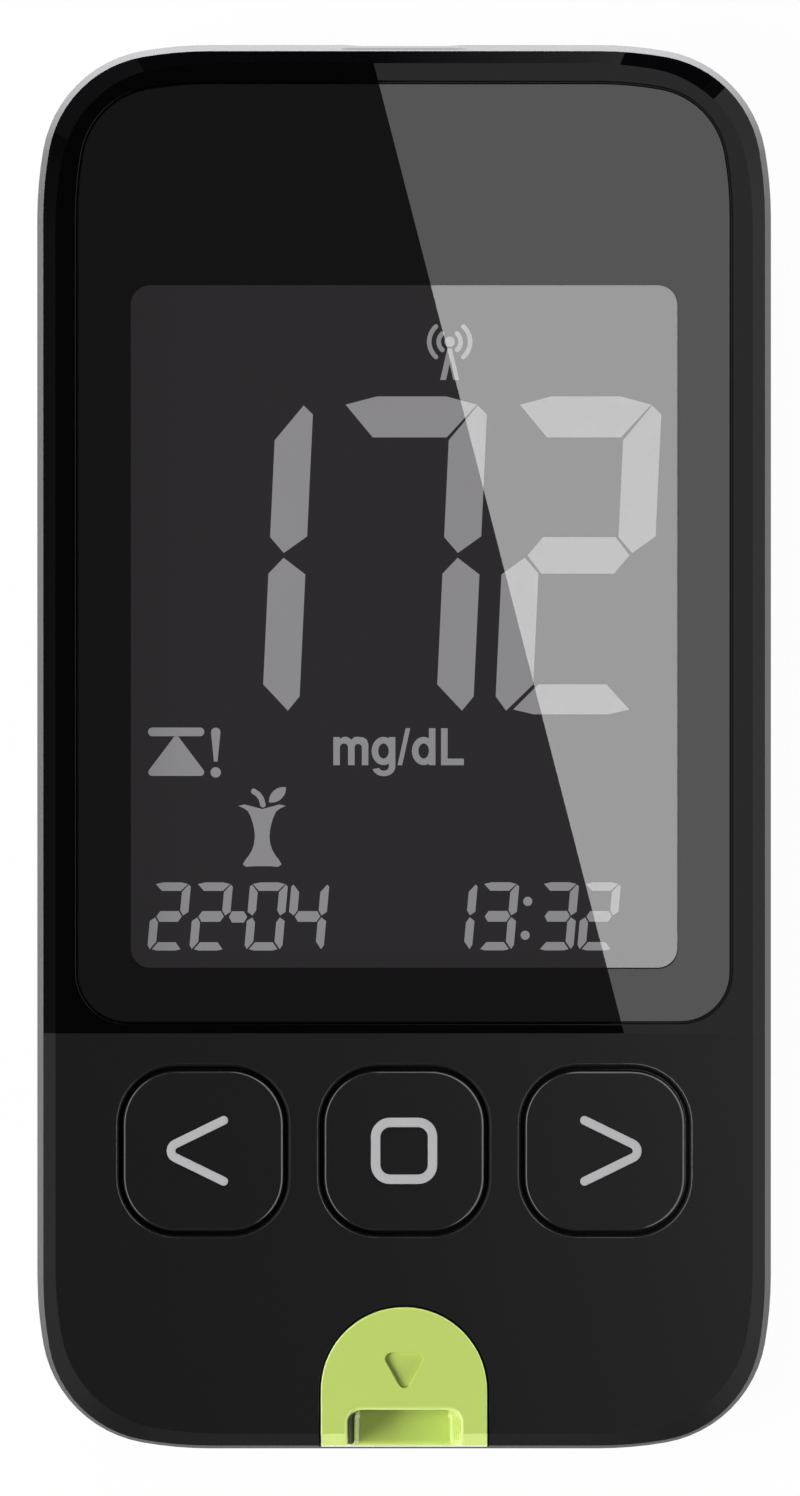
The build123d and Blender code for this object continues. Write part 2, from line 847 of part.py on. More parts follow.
with BuildPart() as display_frame:
    block(across(frame_width), (frame_low_y, frame_top_y), (board_top_z, frame_top_z))
    with BuildSketch(Plane.XY.offset(reflector_z)):
        add(glass_outline(-frame_clearance))
    extrude(amount=frame_top_z - reflector_z, mode=Mode.SUBTRACT)
    block(contact_strip_x, contact_strip_y, (board_top_z, reflector_z), mode=Mode.SUBTRACT)
    with BuildSketch(Plane.XY.offset(board_top_z)):
        with Locations(*peg_points):
            Circle(peg_radius)
    extrude(amount=-(board_thickness + peg_overrun))
display_frame.part.label = "display_frame"
export_step(display_frame.part, "parts/display_frame.step")

with BuildPart() as contact_strip:
    block(contact_strip_x, contact_strip_y, (board_top_z, front_glass_z))
contact_strip.part.label = "contact_strip"
export_step(contact_strip.part, "parts/contact_strip.step")


# ---- Main board ------------------------------------------------------------------

with BuildPart() as main_board:
    with BuildSketch(Plane.XY.offset(board_z)):
        add(case_outline(rim + wall + board_gap))
        # Notches for the front cover's bosses, open to the sides
        for x, y in case_screw_points:
            notch_radius = front_boss_radius + boss_notch_gap
            with Locations((x, y)):
                Circle(notch_radius, mode=Mode.SUBTRACT)
            outward = Align.MIN if x > 0 else Align.MAX
            with Locations((x, y)):
                Rectangle(
                    side_x, 2 * notch_radius, align=(outward, Align.CENTER), mode=Mode.SUBTRACT
                )
        with Locations(*board_screw_points):
            Circle(board_screw_radius + boss_notch_gap, mode=Mode.SUBTRACT)
        with Locations(*peg_points):
            Circle(peg_radius + peg_clearance, mode=Mode.SUBTRACT)
        # Slot for the ejector's pusher
        slot_front_y = pusher_front_y - ejector_travel - pusher_clearance
        slot_length = pusher_rear_y + pusher_clearance - slot_front_y
        with Locations((0, slot_front_y + slot_length / 2)):
            Rectangle(pusher_width + 2 * pusher_clearance, slot_length, mode=Mode.SUBTRACT)
    extrude(amount=board_thickness)
main_board.part.label = "main_board"
export_step(main_board.part, "parts/main_board.step")

with BuildPart() as main_chip:
    block(
        across(main_chip_size),
        (main_chip_y - main_chip_size / 2, main_chip_y + main_chip_size / 2),
        (board_z - main_chip_height, board_z),
    )
    chamfer(main_chip.faces().sort_by(Axis.Z)[0].edges(), chip_corner_chamfer)
main_chip.part.label = "main_chip"
export_step(main_chip.part, "parts/main_chip.step")

with BuildPart() as memory_chip:
    block(
        (memory_chip_x - memory_chip_width / 2, memory_chip_x + memory_chip_width / 2),
        (main_chip_y - memory_chip_length / 2, main_chip_y + memory_chip_length / 2),
        (board_z - memory_chip_height, board_z),
    )
    chamfer(memory_chip.faces().sort_by(Axis.Z)[0].edges(), chip_corner_chamfer)
memory_chip.part.label = "memory_chip"
export_step(memory_chip.part, "parts/memory_chip.step")

with BuildPart() as radio_module:
    radio_low_z = board_z - radio_height
    can_top_z = board_z - radio_can_inset
    radio_reach = radio_width / 2
    radio_span = radio_length / 2
    block(
        (radio_x - radio_reach, radio_x + radio_reach),
        (main_chip_y - radio_span, main_chip_y + radio_span),
        (can_top_z, board_z),
    )
    block(
        (radio_x - radio_reach + radio_can_inset, radio_x + radio_reach - radio_can_inset),
        (main_chip_y - radio_span + radio_can_inset, main_chip_y + radio_span - radio_can_inset),
        (radio_low_z, can_top_z),
    )
    fillet(radio_module.faces().sort_by(Axis.Z)[0].edges(), chip_corner_chamfer)
radio_module.part.label = "radio_module"
export_step(radio_module.part, "parts/radio_module.step")

with BuildPart() as timing_crystal:
    block(
        across(crystal_length),
        (crystal_y - crystal_width / 2, crystal_y + crystal_width / 2),
        (board_z - crystal_height, board_z),
    )
    fillet(timing_crystal.edges().filter_by(Axis.Z), crystal_width / 4)
timing_crystal.part.label = "timing_crystal"
export_step(timing_crystal.part, "parts/timing_crystal.step")

with BuildPart() as buzzer:
    with BuildSketch(Plane.XY.offset(board_z - buzzer_height)):
        with Locations((buzzer_x, buzzer_y)):
            Circle(buzzer_radius)
    extrude(amount=buzzer_height)
    fillet(buzzer.faces().sort_by(Axis.Z)[0].edges(), chip_corner_chamfer)
    with BuildSketch(Plane.XY.offset(board_z - buzzer_height)):
        with Locations((buzzer_x, buzzer_y)):
            Circle(buzzer_port_radius)
    extrude(amount=buzzer_height / 2, mode=Mode.SUBTRACT)
buzzer.part.label = "buzzer"
export_step(buzzer.part, "parts/buzzer.step")


# ---- Buttons, silicone mat and snap domes ----------------------------------------

flange_top_z = front_under_z - button_play
flange_low_z = flange_top_z - flange_thickness
mat_top_z = board_top_z + mat_base + bell_height
flange_size = button_size + 2 * flange_margin

for name, point in zip(button_names, button_points):
    with BuildPart() as button:
        with BuildSketch(Plane.XY.offset(flange_low_z)):
            with Locations(point):
                RectangleRounded(flange_size, flange_size, button_corner_radius + flange_margin)
        extrude(amount=flange_thickness)
        with BuildSketch(Plane.XY.offset(flange_top_z)):
            with Locations(point):
                RectangleRounded(button_size, button_size, button_corner_radius)
        extrude(amount=thickness - flange_top_z)
        fillet(button.faces().sort_by(Axis.Z)[-1].edges(), button_edge_radius)
        with BuildSketch(Plane.XY.offset(flange_low_z)):
            with Locations(point):
                Circle(plunger_radius)
        extrude(amount=mat_top_z + button_play - flange_low_z)
    button.part.label = f"{name}_button"
    export_step(button.part, f"parts/{name}_button.step")

for name, (x, y) in zip(button_names, button_points):
    with BuildPart() as snap_dome:
        sphere_radius = (dome_radius ** 2 + dome_height ** 2) / (2 * dome_height)
        with Locations((x, y, board_top_z + dome_height - sphere_radius)):
            Sphere(sphere_radius)
            Sphere(sphere_radius - dome_thickness, mode=Mode.SUBTRACT)
        split(bisect_by=Plane.XY.offset(board_top_z), keep=Keep.TOP)
    snap_dome.part.label = f"{name}_snap_dome"
    export_step(snap_dome.part, f"parts/{name}_snap_dome.step")

with BuildPart() as keypad_mat:
    with BuildSketch(Plane.XY.offset(board_top_z)):
        with Locations((0, button_y)):
            mat_length = 2 * (bell_foot_radius + mat_margin)
            RectangleRounded(2 * button_pitch + flange_size, mat_length, mat_corner_radius)
    extrude(amount=mat_base)
    on_board = [(x, y, board_top_z) for x, y in button_points]
    with Locations(*[(x, y, board_top_z + mat_base) for x, y in button_points]):
        Cone(
            bell_foot_radius, bell_top_radius, bell_height,
            align=(Align.CENTER, Align.CENTER, Align.MIN),
        )
    with Locations(*on_board):
        bell_room = mat_base + bell_height - bell_wall
        Cone(
            bell_foot_radius - bell_wall, bell_top_radius - bell_wall / 2, bell_room,
            align=(Align.CENTER, Align.CENTER, Align.MIN), mode=Mode.SUBTRACT,
        )
    with BuildSketch(Plane.XY.offset(mat_top_z)):
        with Locations(*button_points):
            Circle(nub_radius)
    extrude(amount=board_top_z + dome_height + nub_clearance - mat_top_z)
keypad_mat.part.label = "keypad_mat"
export_step(keypad_mat.part, "parts/keypad_mat.step")


# ---- Strip port ------------------------------------------------------------------

with BuildPart() as strip_port:
    # Front plate and end wall, cut to the case's outer surface
    with BuildSketch(Plane.XY.offset(thickness - port_plate)):
        add(port_outline())
    extrude(amount=port_plate)
    block(
        across(port_width),
        (end_y - wall, end_y + port_end_thickness),
        (strip_z - port_sill, thickness),
    )
    add(whole_case(), mode=Mode.INTERSECT)

    # Flange under the front cover, and the tunnel that leads the strip inwards
    flange_top = thickness - front_wall - port_flange_play
    with BuildSketch(Plane.XY.offset(flange_top - port_flange_thickness)):
        add(port_outline(port_flange_margin))
        with Locations((0, end_y + lip + port_gap)):
            Rectangle(width, length, align=(Align.CENTER, Align.MAX), mode=Mode.SUBTRACT)
    extrude(amount=port_flange_thickness)
    with BuildSketch(Plane.XY.offset(flange_top - port_flange_thickness)):
        add(port_outline())
        with Locations((0, end_y + lip + port_gap)):
            Rectangle(width, length, align=(Align.CENTER, Align.MAX), mode=Mode.SUBTRACT)
    extrude(amount=thickness - port_plate - (flange_top - port_flange_thickness))
    block(
        across(strip_slot_width + 2 * tunnel_wall),
        (end_y + wall, tunnel_y),
        (strip_z - tunnel_wall, thickness - port_plate),
    )

    # Pocket: a funnel, open at the end, with a rounded floor
    pocket_reach = pocket_length + wall
    floor_width = pocket_floor_width + 2 * pocket_floor_radius
    for height, across_pocket in ((thickness, pocket_width), (strip_z, floor_width)):
        with BuildSketch(Plane.XY.offset(height)):
            with Locations((0, pocket_y)):
                Rectangle(across_pocket, pocket_reach, align=(Align.CENTER, Align.MAX))
    loft(ruled=True, mode=Mode.SUBTRACT)
    fillet(
        strip_port.edges().filter_by(
            lambda edge: abs(edge.center().Y - pocket_y) < port_gap
            and edge.bounding_box().min.Z > strip_z - port_gap
            and edge.bounding_box().size.Z > strip_height
        ),
        pocket_corner_radius,
    )
    fillet(
        strip_port.edges().filter_by(
            lambda edge: abs(edge.center().Z - strip_z) < port_gap
            and abs(abs(edge.center().X) - floor_width / 2) < port_gap
            and edge.bounding_box().size.Y > pocket_length / 4
        ),
        pocket_floor_radius,
    )

    # Round the pocket's lip and floor end, then break the outer edges
    bevel_foot_y = end_y + rim + bevel + port_gap
    face_z = thickness - port_gap
    fillet(
        strip_port.edges().filter_by(
            lambda edge: abs(edge.center().X) < pocket_width / 2 + port_gap
            and edge.center().Y < pocket_y + port_gap
            and edge.bounding_box().min.Z > strip_z - port_gap
            and (edge.bounding_box().max.Y < bevel_foot_y or edge.bounding_box().min.Z > face_z)
        ),
        min(pocket_lip_radius, bevel / 2),
    )
    fillet(
        strip_port.edges().filter_by(
            lambda edge: edge.bounding_box().min.Z > face_z
            and (edge.center().Y > port_arch_y or abs(edge.center().X) > port_width / 2 - port_gap)
        ),
        port_edge_radius,
    )
    block(
        across(strip_slot_width),
        (pocket_y - pocket_corner_radius, tunnel_y),
        (strip_z, strip_z + strip_slot_height),
        mode=Mode.SUBTRACT,
    )

    # Arrow sunk into the front plate, pointing to the pocket
    arrow_y = port_top_y - arrow_from_arch
    with BuildSketch(Plane.XY.offset(thickness)):
        with BuildLine():
            Polyline(
                (-arrow_width / 2, arrow_y),
                (arrow_width / 2, arrow_y),
                (0, arrow_y - arrow_length),
                close=True,
            )
        make_face()
        fillet(vertices(), arrow_corner_radius)
    extrude(amount=-arrow_depth, mode=Mode.SUBTRACT)
strip_port.part.label = "strip_port"
export_step(strip_port.part, "parts/strip_port.step")


# ---- Strip connector and its contacts --------------------------------------------

channel_top_z = strip_z + strip_slot_height
connector_top_z = channel_top_z + connector_roof
contact_xs = [(place - (contact_count - 1) / 2) * contact_pitch for place in range(contact_count)]

with BuildPart() as strip_connector:
    block(
        across(strip_slot_width + 2 * connector_wall),
        (connector_front_y, connector_rear_y),
        (board_top_z, connector_top_z),
    )
    # Channel for the strip, and the pusher's way under it
    block(
        across(strip_slot_width),
        (connector_front_y, connector_front_y + strip_depth),
        (strip_z, channel_top_z),
        mode=Mode.SUBTRACT,
    )
    block(
        across(pusher_width + 2 * pusher_clearance),
        (pusher_front_y - ejector_travel - pusher_clearance, connector_rear_y),
        (board_top_z, channel_top_z),
        mode=Mode.SUBTRACT,
    )
    # One slot in the roof for each contact
    for x in contact_xs:
        block(
            (x - contact_slot_width / 2, x + contact_slot_width / 2),
            (connector_front_y + connector_wall, connector_rear_y),
            (channel_top_z, connector_top_z),
            mode=Mode.SUBTRACT,
        )
strip_connector.part.label = "strip_connector"
export_step(strip_connector.part, "parts/strip_connector.step")

with BuildPart() as strip_contacts:
    bend_z = channel_top_z - contact_dip + contact_metal / 2
    arm_z = channel_top_z + connector_roof / 2
    foot_z = board_top_z + contact_metal / 2
    tail_y = connector_rear_y + 2 * contact_metal
    bend_y = connector_front_y + strip_depth / 2
    for x in contact_xs:
        with BuildSketch(Plane.YZ.offset(x)):
            with BuildLine():
                FilletPolyline(
                    (tail_y + connector_roof, foot_z),
                    (tail_y, foot_z),
                    (tail_y, arm_z),
                    (bend_y + connector_roof, arm_z),
                    (bend_y, bend_z),
                    (bend_y - connector_roof, arm_z),
                    radius=contact_metal,
                )
            trace(line_width=contact_metal)
        extrude(amount=contact_width / 2, both=True)
strip_contacts.part.label = "strip_contacts"
export_step(strip_contacts.part, "parts/strip_contacts.step")


# ---- Strip ejector and its spring ------------------------------------------------

with BuildPart() as ejector_slider:
    # Thumb pad with grip grooves, sunk in the back
    with BuildSketch(Plane.XY.offset(thumb_setback)):
        with Locations((0, thumb_y)):
            RectangleRounded(thumb_width, thumb_length, thumb_corner_radius)
    extrude(amount=thumb_thickness)
    for step in (-1, 0, 1):
        groove_y = thumb_y + step * thumb_groove_pitch
        block(
            across(thumb_width - 2 * thumb_corner_radius),
            (groove_y - thumb_groove_width / 2, groove_y + thumb_groove_width / 2),
            (thumb_setback, thumb_setback + thumb_groove_depth),
            mode=Mode.SUBTRACT,
        )
    # Neck through the slot, carriage with barbs, spring seat and pusher
    carriage_z = back_wall + carriage_lift
    block(
        across(neck_width),
        (pusher_front_y, neck_rear_y),
        (thumb_setback + thumb_thickness, carriage_z),
    )
    block(
        across(neck_width + 2 * carriage_barb),
        (spring_seat_y, neck_rear_y + carriage_barb / 2),
        (carriage_z, carriage_z + carriage_height),
    )
    block(
        across(neck_width + carriage_barb),
        (spring_seat_y, pusher_rear_y),
        (carriage_z, spring_seat_z),
    )
    block(
        across(pusher_width),
        (pusher_front_y, pusher_rear_y),
        (spring_seat_z, strip_z + pusher_height),
    )
ejector_slider.part.label = "ejector_slider"
export_step(ejector_slider.part, "parts/ejector_slider.step")

with BuildPart() as ejector_spring:
    spring_length = spring_seat_y - spring_stop_y - spring_wire
    with BuildLine() as coil:
        Helix(
            pitch=spring_length / spring_turns,
            height=spring_length,
            radius=spring_radius,
            center=(0, spring_seat_y - spring_wire / 2, spring_z),
            direction=(0, -1, 0),
        )
    with BuildSketch(Plane(origin=coil.line @ 0, z_dir=coil.line % 0)):
        Circle(spring_wire / 2)
    sweep(path=coil.line, is_frenet=True)
ejector_spring.part.label = "ejector_spring"
export_step(ejector_spring.part, "parts/ejector_spring.step")


# ---- Coin cells and battery contacts ---------------------------------------------

for name, (x, y) in zip(("left", "right"), cell_points):
    with BuildPart() as coin_cell:
        can_height = cell_height - cell_cap_height
        with Locations((x, y, cell_z)):
            Cylinder(
                cell_diameter / 2, can_height, align=(Align.CENTER, Align.CENTER, Align.MIN)
            )
        fillet(coin_cell.edges().filter_by(GeomType.CIRCLE), cell_edge_radius)
        with Locations((x, y, cell_z + can_height)):
            Cylinder(
                cell_diameter / 2 - cell_cap_inset, cell_cap_height,
                align=(Align.CENTER, Align.CENTER, Align.MIN),
            )
    coin_cell.part.label = f"{name}_coin_cell"
    export_step(coin_cell.part, f"parts/{name}_coin_cell.step")

with BuildPart() as negative_contacts:
    leaf_z = cell_z + cell_height + leaf_clearance
    for x, y in cell_points:
        leaf_x = (x - leaf_width / 2, x + leaf_width / 2)
        block(leaf_x, (y - leaf_length / 2, leaf_leg_y), (leaf_z, leaf_z + leaf_metal))
        block(leaf_x, (leaf_leg_y, leaf_leg_y + leaf_metal), (leaf_z, board_z))
negative_contacts.part.label = "negative_contacts"
export_step(negative_contacts.part, "parts/negative_contacts.step")

with BuildPart() as positive_contacts:
    for x, y in cell_points:
        block(
            (x - tab_width / 2, x + tab_width / 2),
            (tab_y - leaf_metal / 2, tab_y + leaf_metal / 2),
            (cell_z + cell_edge_radius, board_z),
        )
positive_contacts.part.label = "positive_contacts"
export_step(positive_contacts.part, "parts/positive_contacts.step")


# ---- Battery door ----------------------------------------------------------------

with BuildPart() as battery_door:
    door_width = door_opening_width - 2 * door_gap
    with BuildSketch(Plane.XY.offset(door_setback)):
        with Locations((0, (hinge_y + door_top_y - door_gap) / 2)):
            Rectangle(door_width, door_top_y - door_gap - hinge_y)
        fillet(vertices().group_by(Axis.Y)[-1], door_corner_radius)
    extrude(amount=back_wall - door_setback)
    with Locations(Location((0, hinge_y, hinge_z), (0, 90, 0))):
        Cylinder(hinge_radius, door_width)
        Cylinder(hinge_pin_radius, door_opening_width + 2 * hinge_pin_length)
    with BuildSketch(Plane.XY.offset(door_setback)):
        with Locations((0, door_top_y)):
            Circle(finger_notch_radius)
    extrude(amount=finger_notch_depth, mode=Mode.SUBTRACT)
battery_door.part.label = "battery_door"
export_step(battery_door.part, "parts/battery_door.step")


# ---- Data port -------------------------------------------------------------------

shell_mouth_y = top_y - data_port_setback
shell_z = board_top_z + data_port_height / 2

with BuildPart() as data_port_shell:
    with BuildSketch(Plane.XZ.offset(-shell_mouth_y)):
        with Locations((0, shell_z)):
            RectangleRounded(data_port_width, data_port_height, data_port_corner_radius)
    extrude(amount=data_port_depth)
    with BuildSketch(Plane.XZ.offset(-shell_mouth_y)):
        with Locations((0, shell_z)):
            RectangleRounded(
                data_port_width - 2 * data_port_wall,
                data_port_height - 2 * data_port_wall,
                data_port_corner_radius - data_port_wall,
            )
    extrude(amount=data_port_depth - data_port_wall, mode=Mode.SUBTRACT)
data_port_shell.part.label = "data_port_shell"
export_step(data_port_shell.part, "parts/data_port_shell.step")

with BuildPart() as data_port_tongue:
    root_y = shell_mouth_y - data_port_depth + data_port_wall
    with BuildSketch(Plane.XZ.offset(-root_y)):
        with Locations((0, shell_z)):
            RectangleRounded(
                data_port_width - 2 * data_port_wall,
                data_port_height - 2 * data_port_wall,
                data_port_corner_radius - data_port_wall,
            )
    extrude(amount=-data_tongue_root)
    block(
        across(data_tongue_width),
        (root_y + data_tongue_root, shell_mouth_y - data_tongue_setback),
        (shell_z - data_tongue_thickness / 2, shell_z + data_tongue_thickness / 2),
    )
data_port_tongue.part.label = "data_port_tongue"
export_step(data_port_tongue.part, "parts/data_port_tongue.step")


# ---- Screws and label ------------------------------------------------------------

with BuildPart() as case_screws:
    head_z = counterbore_depth - case_screw_head_height
    with BuildSketch(Plane.XY.offset(head_z)):
        with Locations(*case_screw_points):
            Circle(case_screw_head_radius)
    extrude(amount=case_screw_head_height)
    with BuildSketch(Plane.XY.offset(counterbore_depth)):
        with Locations(*case_screw_points):
            Circle(case_screw_radius)
    extrude(amount=case_screw_length)
    with BuildSketch(Plane.XY.offset(head_z)):
        with Locations(*case_screw_points):
            Rectangle(drive_length, drive_width)
            Rectangle(drive_width, drive_length)
    extrude(amount=drive_depth, mode=Mode.SUBTRACT)
case_screws.part.label = "case_screws"
export_step(case_screws.part, "parts/case_screws.step")

with BuildPart() as board_screws:
    head_top_z = board_top_z + board_screw_head_height
    with BuildSketch(Plane.XY.offset(board_top_z)):
        with Locations(*board_screw_points):
            Circle(board_screw_head_radius)
    extrude(amount=board_screw_head_height)
    with BuildSketch(Plane.XY.offset(board_top_z)):
        with Locations(*board_screw_points):
            Circle(board_screw_radius)
    extrude(amount=-board_screw_length)
    with BuildSketch(Plane.XY.offset(head_top_z)):
        with Locations(*board_screw_points):
            Rectangle(board_drive_length, drive_width)
            Rectangle(drive_width, board_drive_length)
    extrude(amount=-drive_depth, mode=Mode.SUBTRACT)
board_screws.part.label = "board_screws"
export_step(board_screws.part, "parts/board_screws.step")

with BuildPart() as rear_label:
    with BuildSketch(Plane.XY.offset(label_recess)):
        with Locations((0, label_y)):
            RectangleRounded(
                label_width - 2 * label_margin,
                label_length - 2 * label_margin,
                label_corner_radius - label_margin,
            )
    extrude(amount=-label_thickness)
rear_label.part.label = "rear_label"
export_step(rear_label.part, "parts/rear_label.step")
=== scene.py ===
from math import atan2, cos, degrees, pi, radians, sin

import bpy
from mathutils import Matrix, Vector


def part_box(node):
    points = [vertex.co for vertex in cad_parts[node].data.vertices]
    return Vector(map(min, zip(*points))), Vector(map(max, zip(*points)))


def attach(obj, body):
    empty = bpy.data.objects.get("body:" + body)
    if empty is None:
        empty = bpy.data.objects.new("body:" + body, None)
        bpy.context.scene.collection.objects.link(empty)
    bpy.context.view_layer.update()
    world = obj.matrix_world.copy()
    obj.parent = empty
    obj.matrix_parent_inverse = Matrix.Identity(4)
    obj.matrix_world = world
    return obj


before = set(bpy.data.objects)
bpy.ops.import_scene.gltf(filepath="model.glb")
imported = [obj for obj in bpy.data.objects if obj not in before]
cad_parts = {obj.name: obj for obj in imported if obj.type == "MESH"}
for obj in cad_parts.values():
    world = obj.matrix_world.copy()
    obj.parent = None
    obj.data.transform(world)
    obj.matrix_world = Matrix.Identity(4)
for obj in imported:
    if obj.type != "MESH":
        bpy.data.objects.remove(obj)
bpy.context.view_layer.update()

# Looks of the blood glucose meter: finishes of every piece, the display's marks, the
# marks on the keys, and a plain studio. Lengths are in metres, written with mm.

mm = 0.001
lens_low, lens_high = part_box("display_lens")
port_low, port_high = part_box("strip_port")
screen_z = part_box("front_polariser")[1].z

# The cover, the lens, the keys and the port all end at this height
face_z = lens_high.z

# The window, as it is cut in the front cover's ledge and printed under the lens
window_width = 35.8 * mm
window_length = 44.7 * mm
window_corner = 1.3 * mm
window_top = lens_high.y - 13.2 * mm
window_y = window_top - window_length / 2

# The pocket that the strip goes into, as it is cut in the port
pocket_floor_z = face_z - 4 * mm
pocket_end_y = port_low.y + 2.6 * mm

# The port's face has straight sides and ends in an arch. Its flanks lie just outside
# this reach from its middle line and from the arch's middle, which is also the middle
# of the wider arch of its flange.
port_reach = 5.43 * mm
arch_y = port_high.y - port_high.x

# The front cover's flat face, inside its bevel
cover_low, cover_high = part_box("front_cover")
bevel_width = 1.45 * mm
flat_width = cover_high.x - cover_low.x - 2 * bevel_width
flat_length = cover_high.y - cover_low.y - 2 * bevel_width
flat_corner = 7.1 * mm

# Above this line the front cover is polished. Below the line it is finely textured.
polish_line = lens_low.y - 0.72 * mm


# ---- Nodes written as sums -------------------------------------------------------

class Value:
    """An output socket. Each operator on it adds a Math node."""

    def __init__(self, finish, socket):
        self.finish = finish
        self.socket = socket

    def math(self, operation, *others):
        """A Math node with this value first."""
        return self.finish.node("ShaderNodeMath", {"operation": operation}, [self, *others])

    def __add__(self, other):
        return self.math("ADD", other)

    def __sub__(self, other):
        return self.math("SUBTRACT", other)

    def __rsub__(self, other):
        return self.finish.node("ShaderNodeMath", {"operation": "SUBTRACT"}, [other, self])

    def __mul__(self, other):
        return self.math("MULTIPLY", other)

    def __truediv__(self, other):
        return self.math("DIVIDE", other)

    def __lt__(self, other):
        return self.math("LESS_THAN", other)

    def __gt__(self, other):
        return self.math("GREATER_THAN", other)

    def __abs__(self):
        return self.math("ABSOLUTE")

    __radd__ = __add__
    __rmul__ = __mul__


class Finish:
    """The nodes of one material, or of the world."""

    def __init__(self, owner):
        owner.use_nodes = True
        self.owner = owner
        self.tree = owner.node_tree
        self.tree.nodes.clear()

    def node(self, kind, settings=None, sockets=(), output=0):
        """A node with its settings, then its sockets, by place or by identifier."""
        node = self.tree.nodes.new(kind)
        for name, setting in (settings or {}).items():
            if name == "stops":
                stops = node.color_ramp.elements
                stops.remove(stops[1])
                stops[0].position, stops[0].color = setting[0][0], (*setting[0][1], 1)
                for place, colour in setting[1:]:
                    stops.new(place).color = (*colour, 1)
            else:
                setattr(node, name, setting)
        inputs = {socket.identifier: socket for socket in node.inputs}
        if not isinstance(sockets, dict):
            sockets = dict(zip(inputs, sockets))
        for name, value in sockets.items():
            if isinstance(value, Value):
                self.tree.links.new(value.socket, inputs[name])
            elif isinstance(value, tuple) and inputs[name].type == "RGBA":
                inputs[name].default_value = (*value, 1)
            else:
                inputs[name].default_value = value
        if isinstance(output, str):
            output = [socket.identifier for socket in node.outputs].index(output)
        return Value(self, node.outputs[output]) if node.outputs else None

    def place(self):
        """The point's place on the piece, in metres."""
        return self.node("ShaderNodeTexCoord", output="Object")

    def ray(self, kind):
        """1 for rays of that kind."""
        return self.node("ShaderNodeLightPath", output=f"Is {kind} Ray")

    def axes(self, names):
        """The point's place along each of the named axes."""
        place = self.place()
        return [self.node("ShaderNodeSeparateXYZ", None, [place], axis) for axis in names]

    def mix(self, share, first, second):
        """A colour between two colours."""
        return self.node(
            "ShaderNodeMix",
            {"data_type": "RGBA"},
            {"Factor_Float": share, "A_Color": first, "B_Color": second},
            "Result_Color",
        )

    def grain(self, size, detail=2.0, stretch=(1, 1, 1)):
        """Noise from 0 to 1 with features of that size, drawn out by stretch along an
        axis."""
        place = self.node(
            "ShaderNodeVectorMath",
            {"operation": "MULTIPLY"},
            [self.place(), tuple(1 / (size * reach) for reach in stretch)],
        )
        return self.node(
            "ShaderNodeTexNoise", None, {"Vector": place, "Scale": 1.0, "Detail": detail}
        )

    def broken_edges(self, radius=0.07 * mm, share=1.0):
        """The piece's normal, with its sharp edges rounded by that radius where share
        is 1."""
        rounded = self.node("ShaderNodeBevel", {"samples": 6}, {"Radius": radius})
        sharp = self.node("ShaderNodeNewGeometry", output="Normal")
        return self.node(
            "ShaderNodeMix",
            {"data_type": "VECTOR"},
            {"Factor_Float": share, "A_Vector": sharp, "B_Vector": rounded},
            "Result_Vector",
        )

    def bump(self, height, depth, edges=None):
        """A normal for a height from 0 to 1 that stands for a depth in metres."""
        return self.node(
            "ShaderNodeBump",
            None,
            {
                "Strength": 1.0,
                "Distance": depth,
                "Height": height,
                "Normal": edges or self.broken_edges(),
            },
        )

    def within(self, width, length, corner, middle_y=0.0):
        """1 inside a rounded rectangle, seen from above."""
        x, y = self.axes("XY")
        beyond_x = (abs(x) - (width / 2 - corner)).math("MAXIMUM", 0)
        beyond_y = (abs(y - middle_y) - (length / 2 - corner)).math("MAXIMUM", 0)
        return beyond_x * beyond_x + beyond_y * beyond_y < corner**2

    def sloping(self, edges):
        """1 where that normal leans a little from straight up, as it does along the
        outer half of a broken edge."""
        upright = self.node("ShaderNodeSeparateXYZ", None, [edges], "Z")
        return (upright < 0.985) * (upright > 0.75)

    def skin(self, **sockets):
        """A Principled shader. Words in its sockets' names are joined with _."""
        names = {word.replace("_", " "): value for word, value in sockets.items()}
        return self.node("ShaderNodeBsdfPrincipled", None, names)

    def glow(self, strength, colour=(1, 1, 1)):
        """A shader that gives off light."""
        return self.node("ShaderNodeEmission", None, {"Color": colour, "Strength": strength})

    def mix_shaders(self, share, first, second):
        """A shader between two shaders."""
        return self.node("ShaderNodeMixShader", None, [share, first, second])

    def show(self, shader):
        """Puts the shader on the surface and gives back the material."""
        kind = "World" if isinstance(self.owner, bpy.types.World) else "Material"
        self.node("ShaderNodeOutput" + kind, None, {"Surface": shader})
        return self.owner


def new_finish(name):
    """An empty material of that name."""
    return Finish(bpy.data.materials.new(name))


def between(share, first, second):
    """A number between two numbers."""
    return first + share * (second - first)


def shaded(colour, share):
    """That share of a colour."""
    return tuple(share * part for part in colour)


def put_in_scene(thing):
    """Links an object to the scene."""
    bpy.context.scene.collection.objects.link(thing)


# ---- Finishes seen from outside --------------------------------------------------

# The fine grain and faint gloss of the black plastic on the cover and the keys
fine_grain = 0.12 * mm
fine_grain_depth = 0.003 * mm
black_gloss = 0.128

# The display's film gleams for the lens over it too
film_ior = 2.23


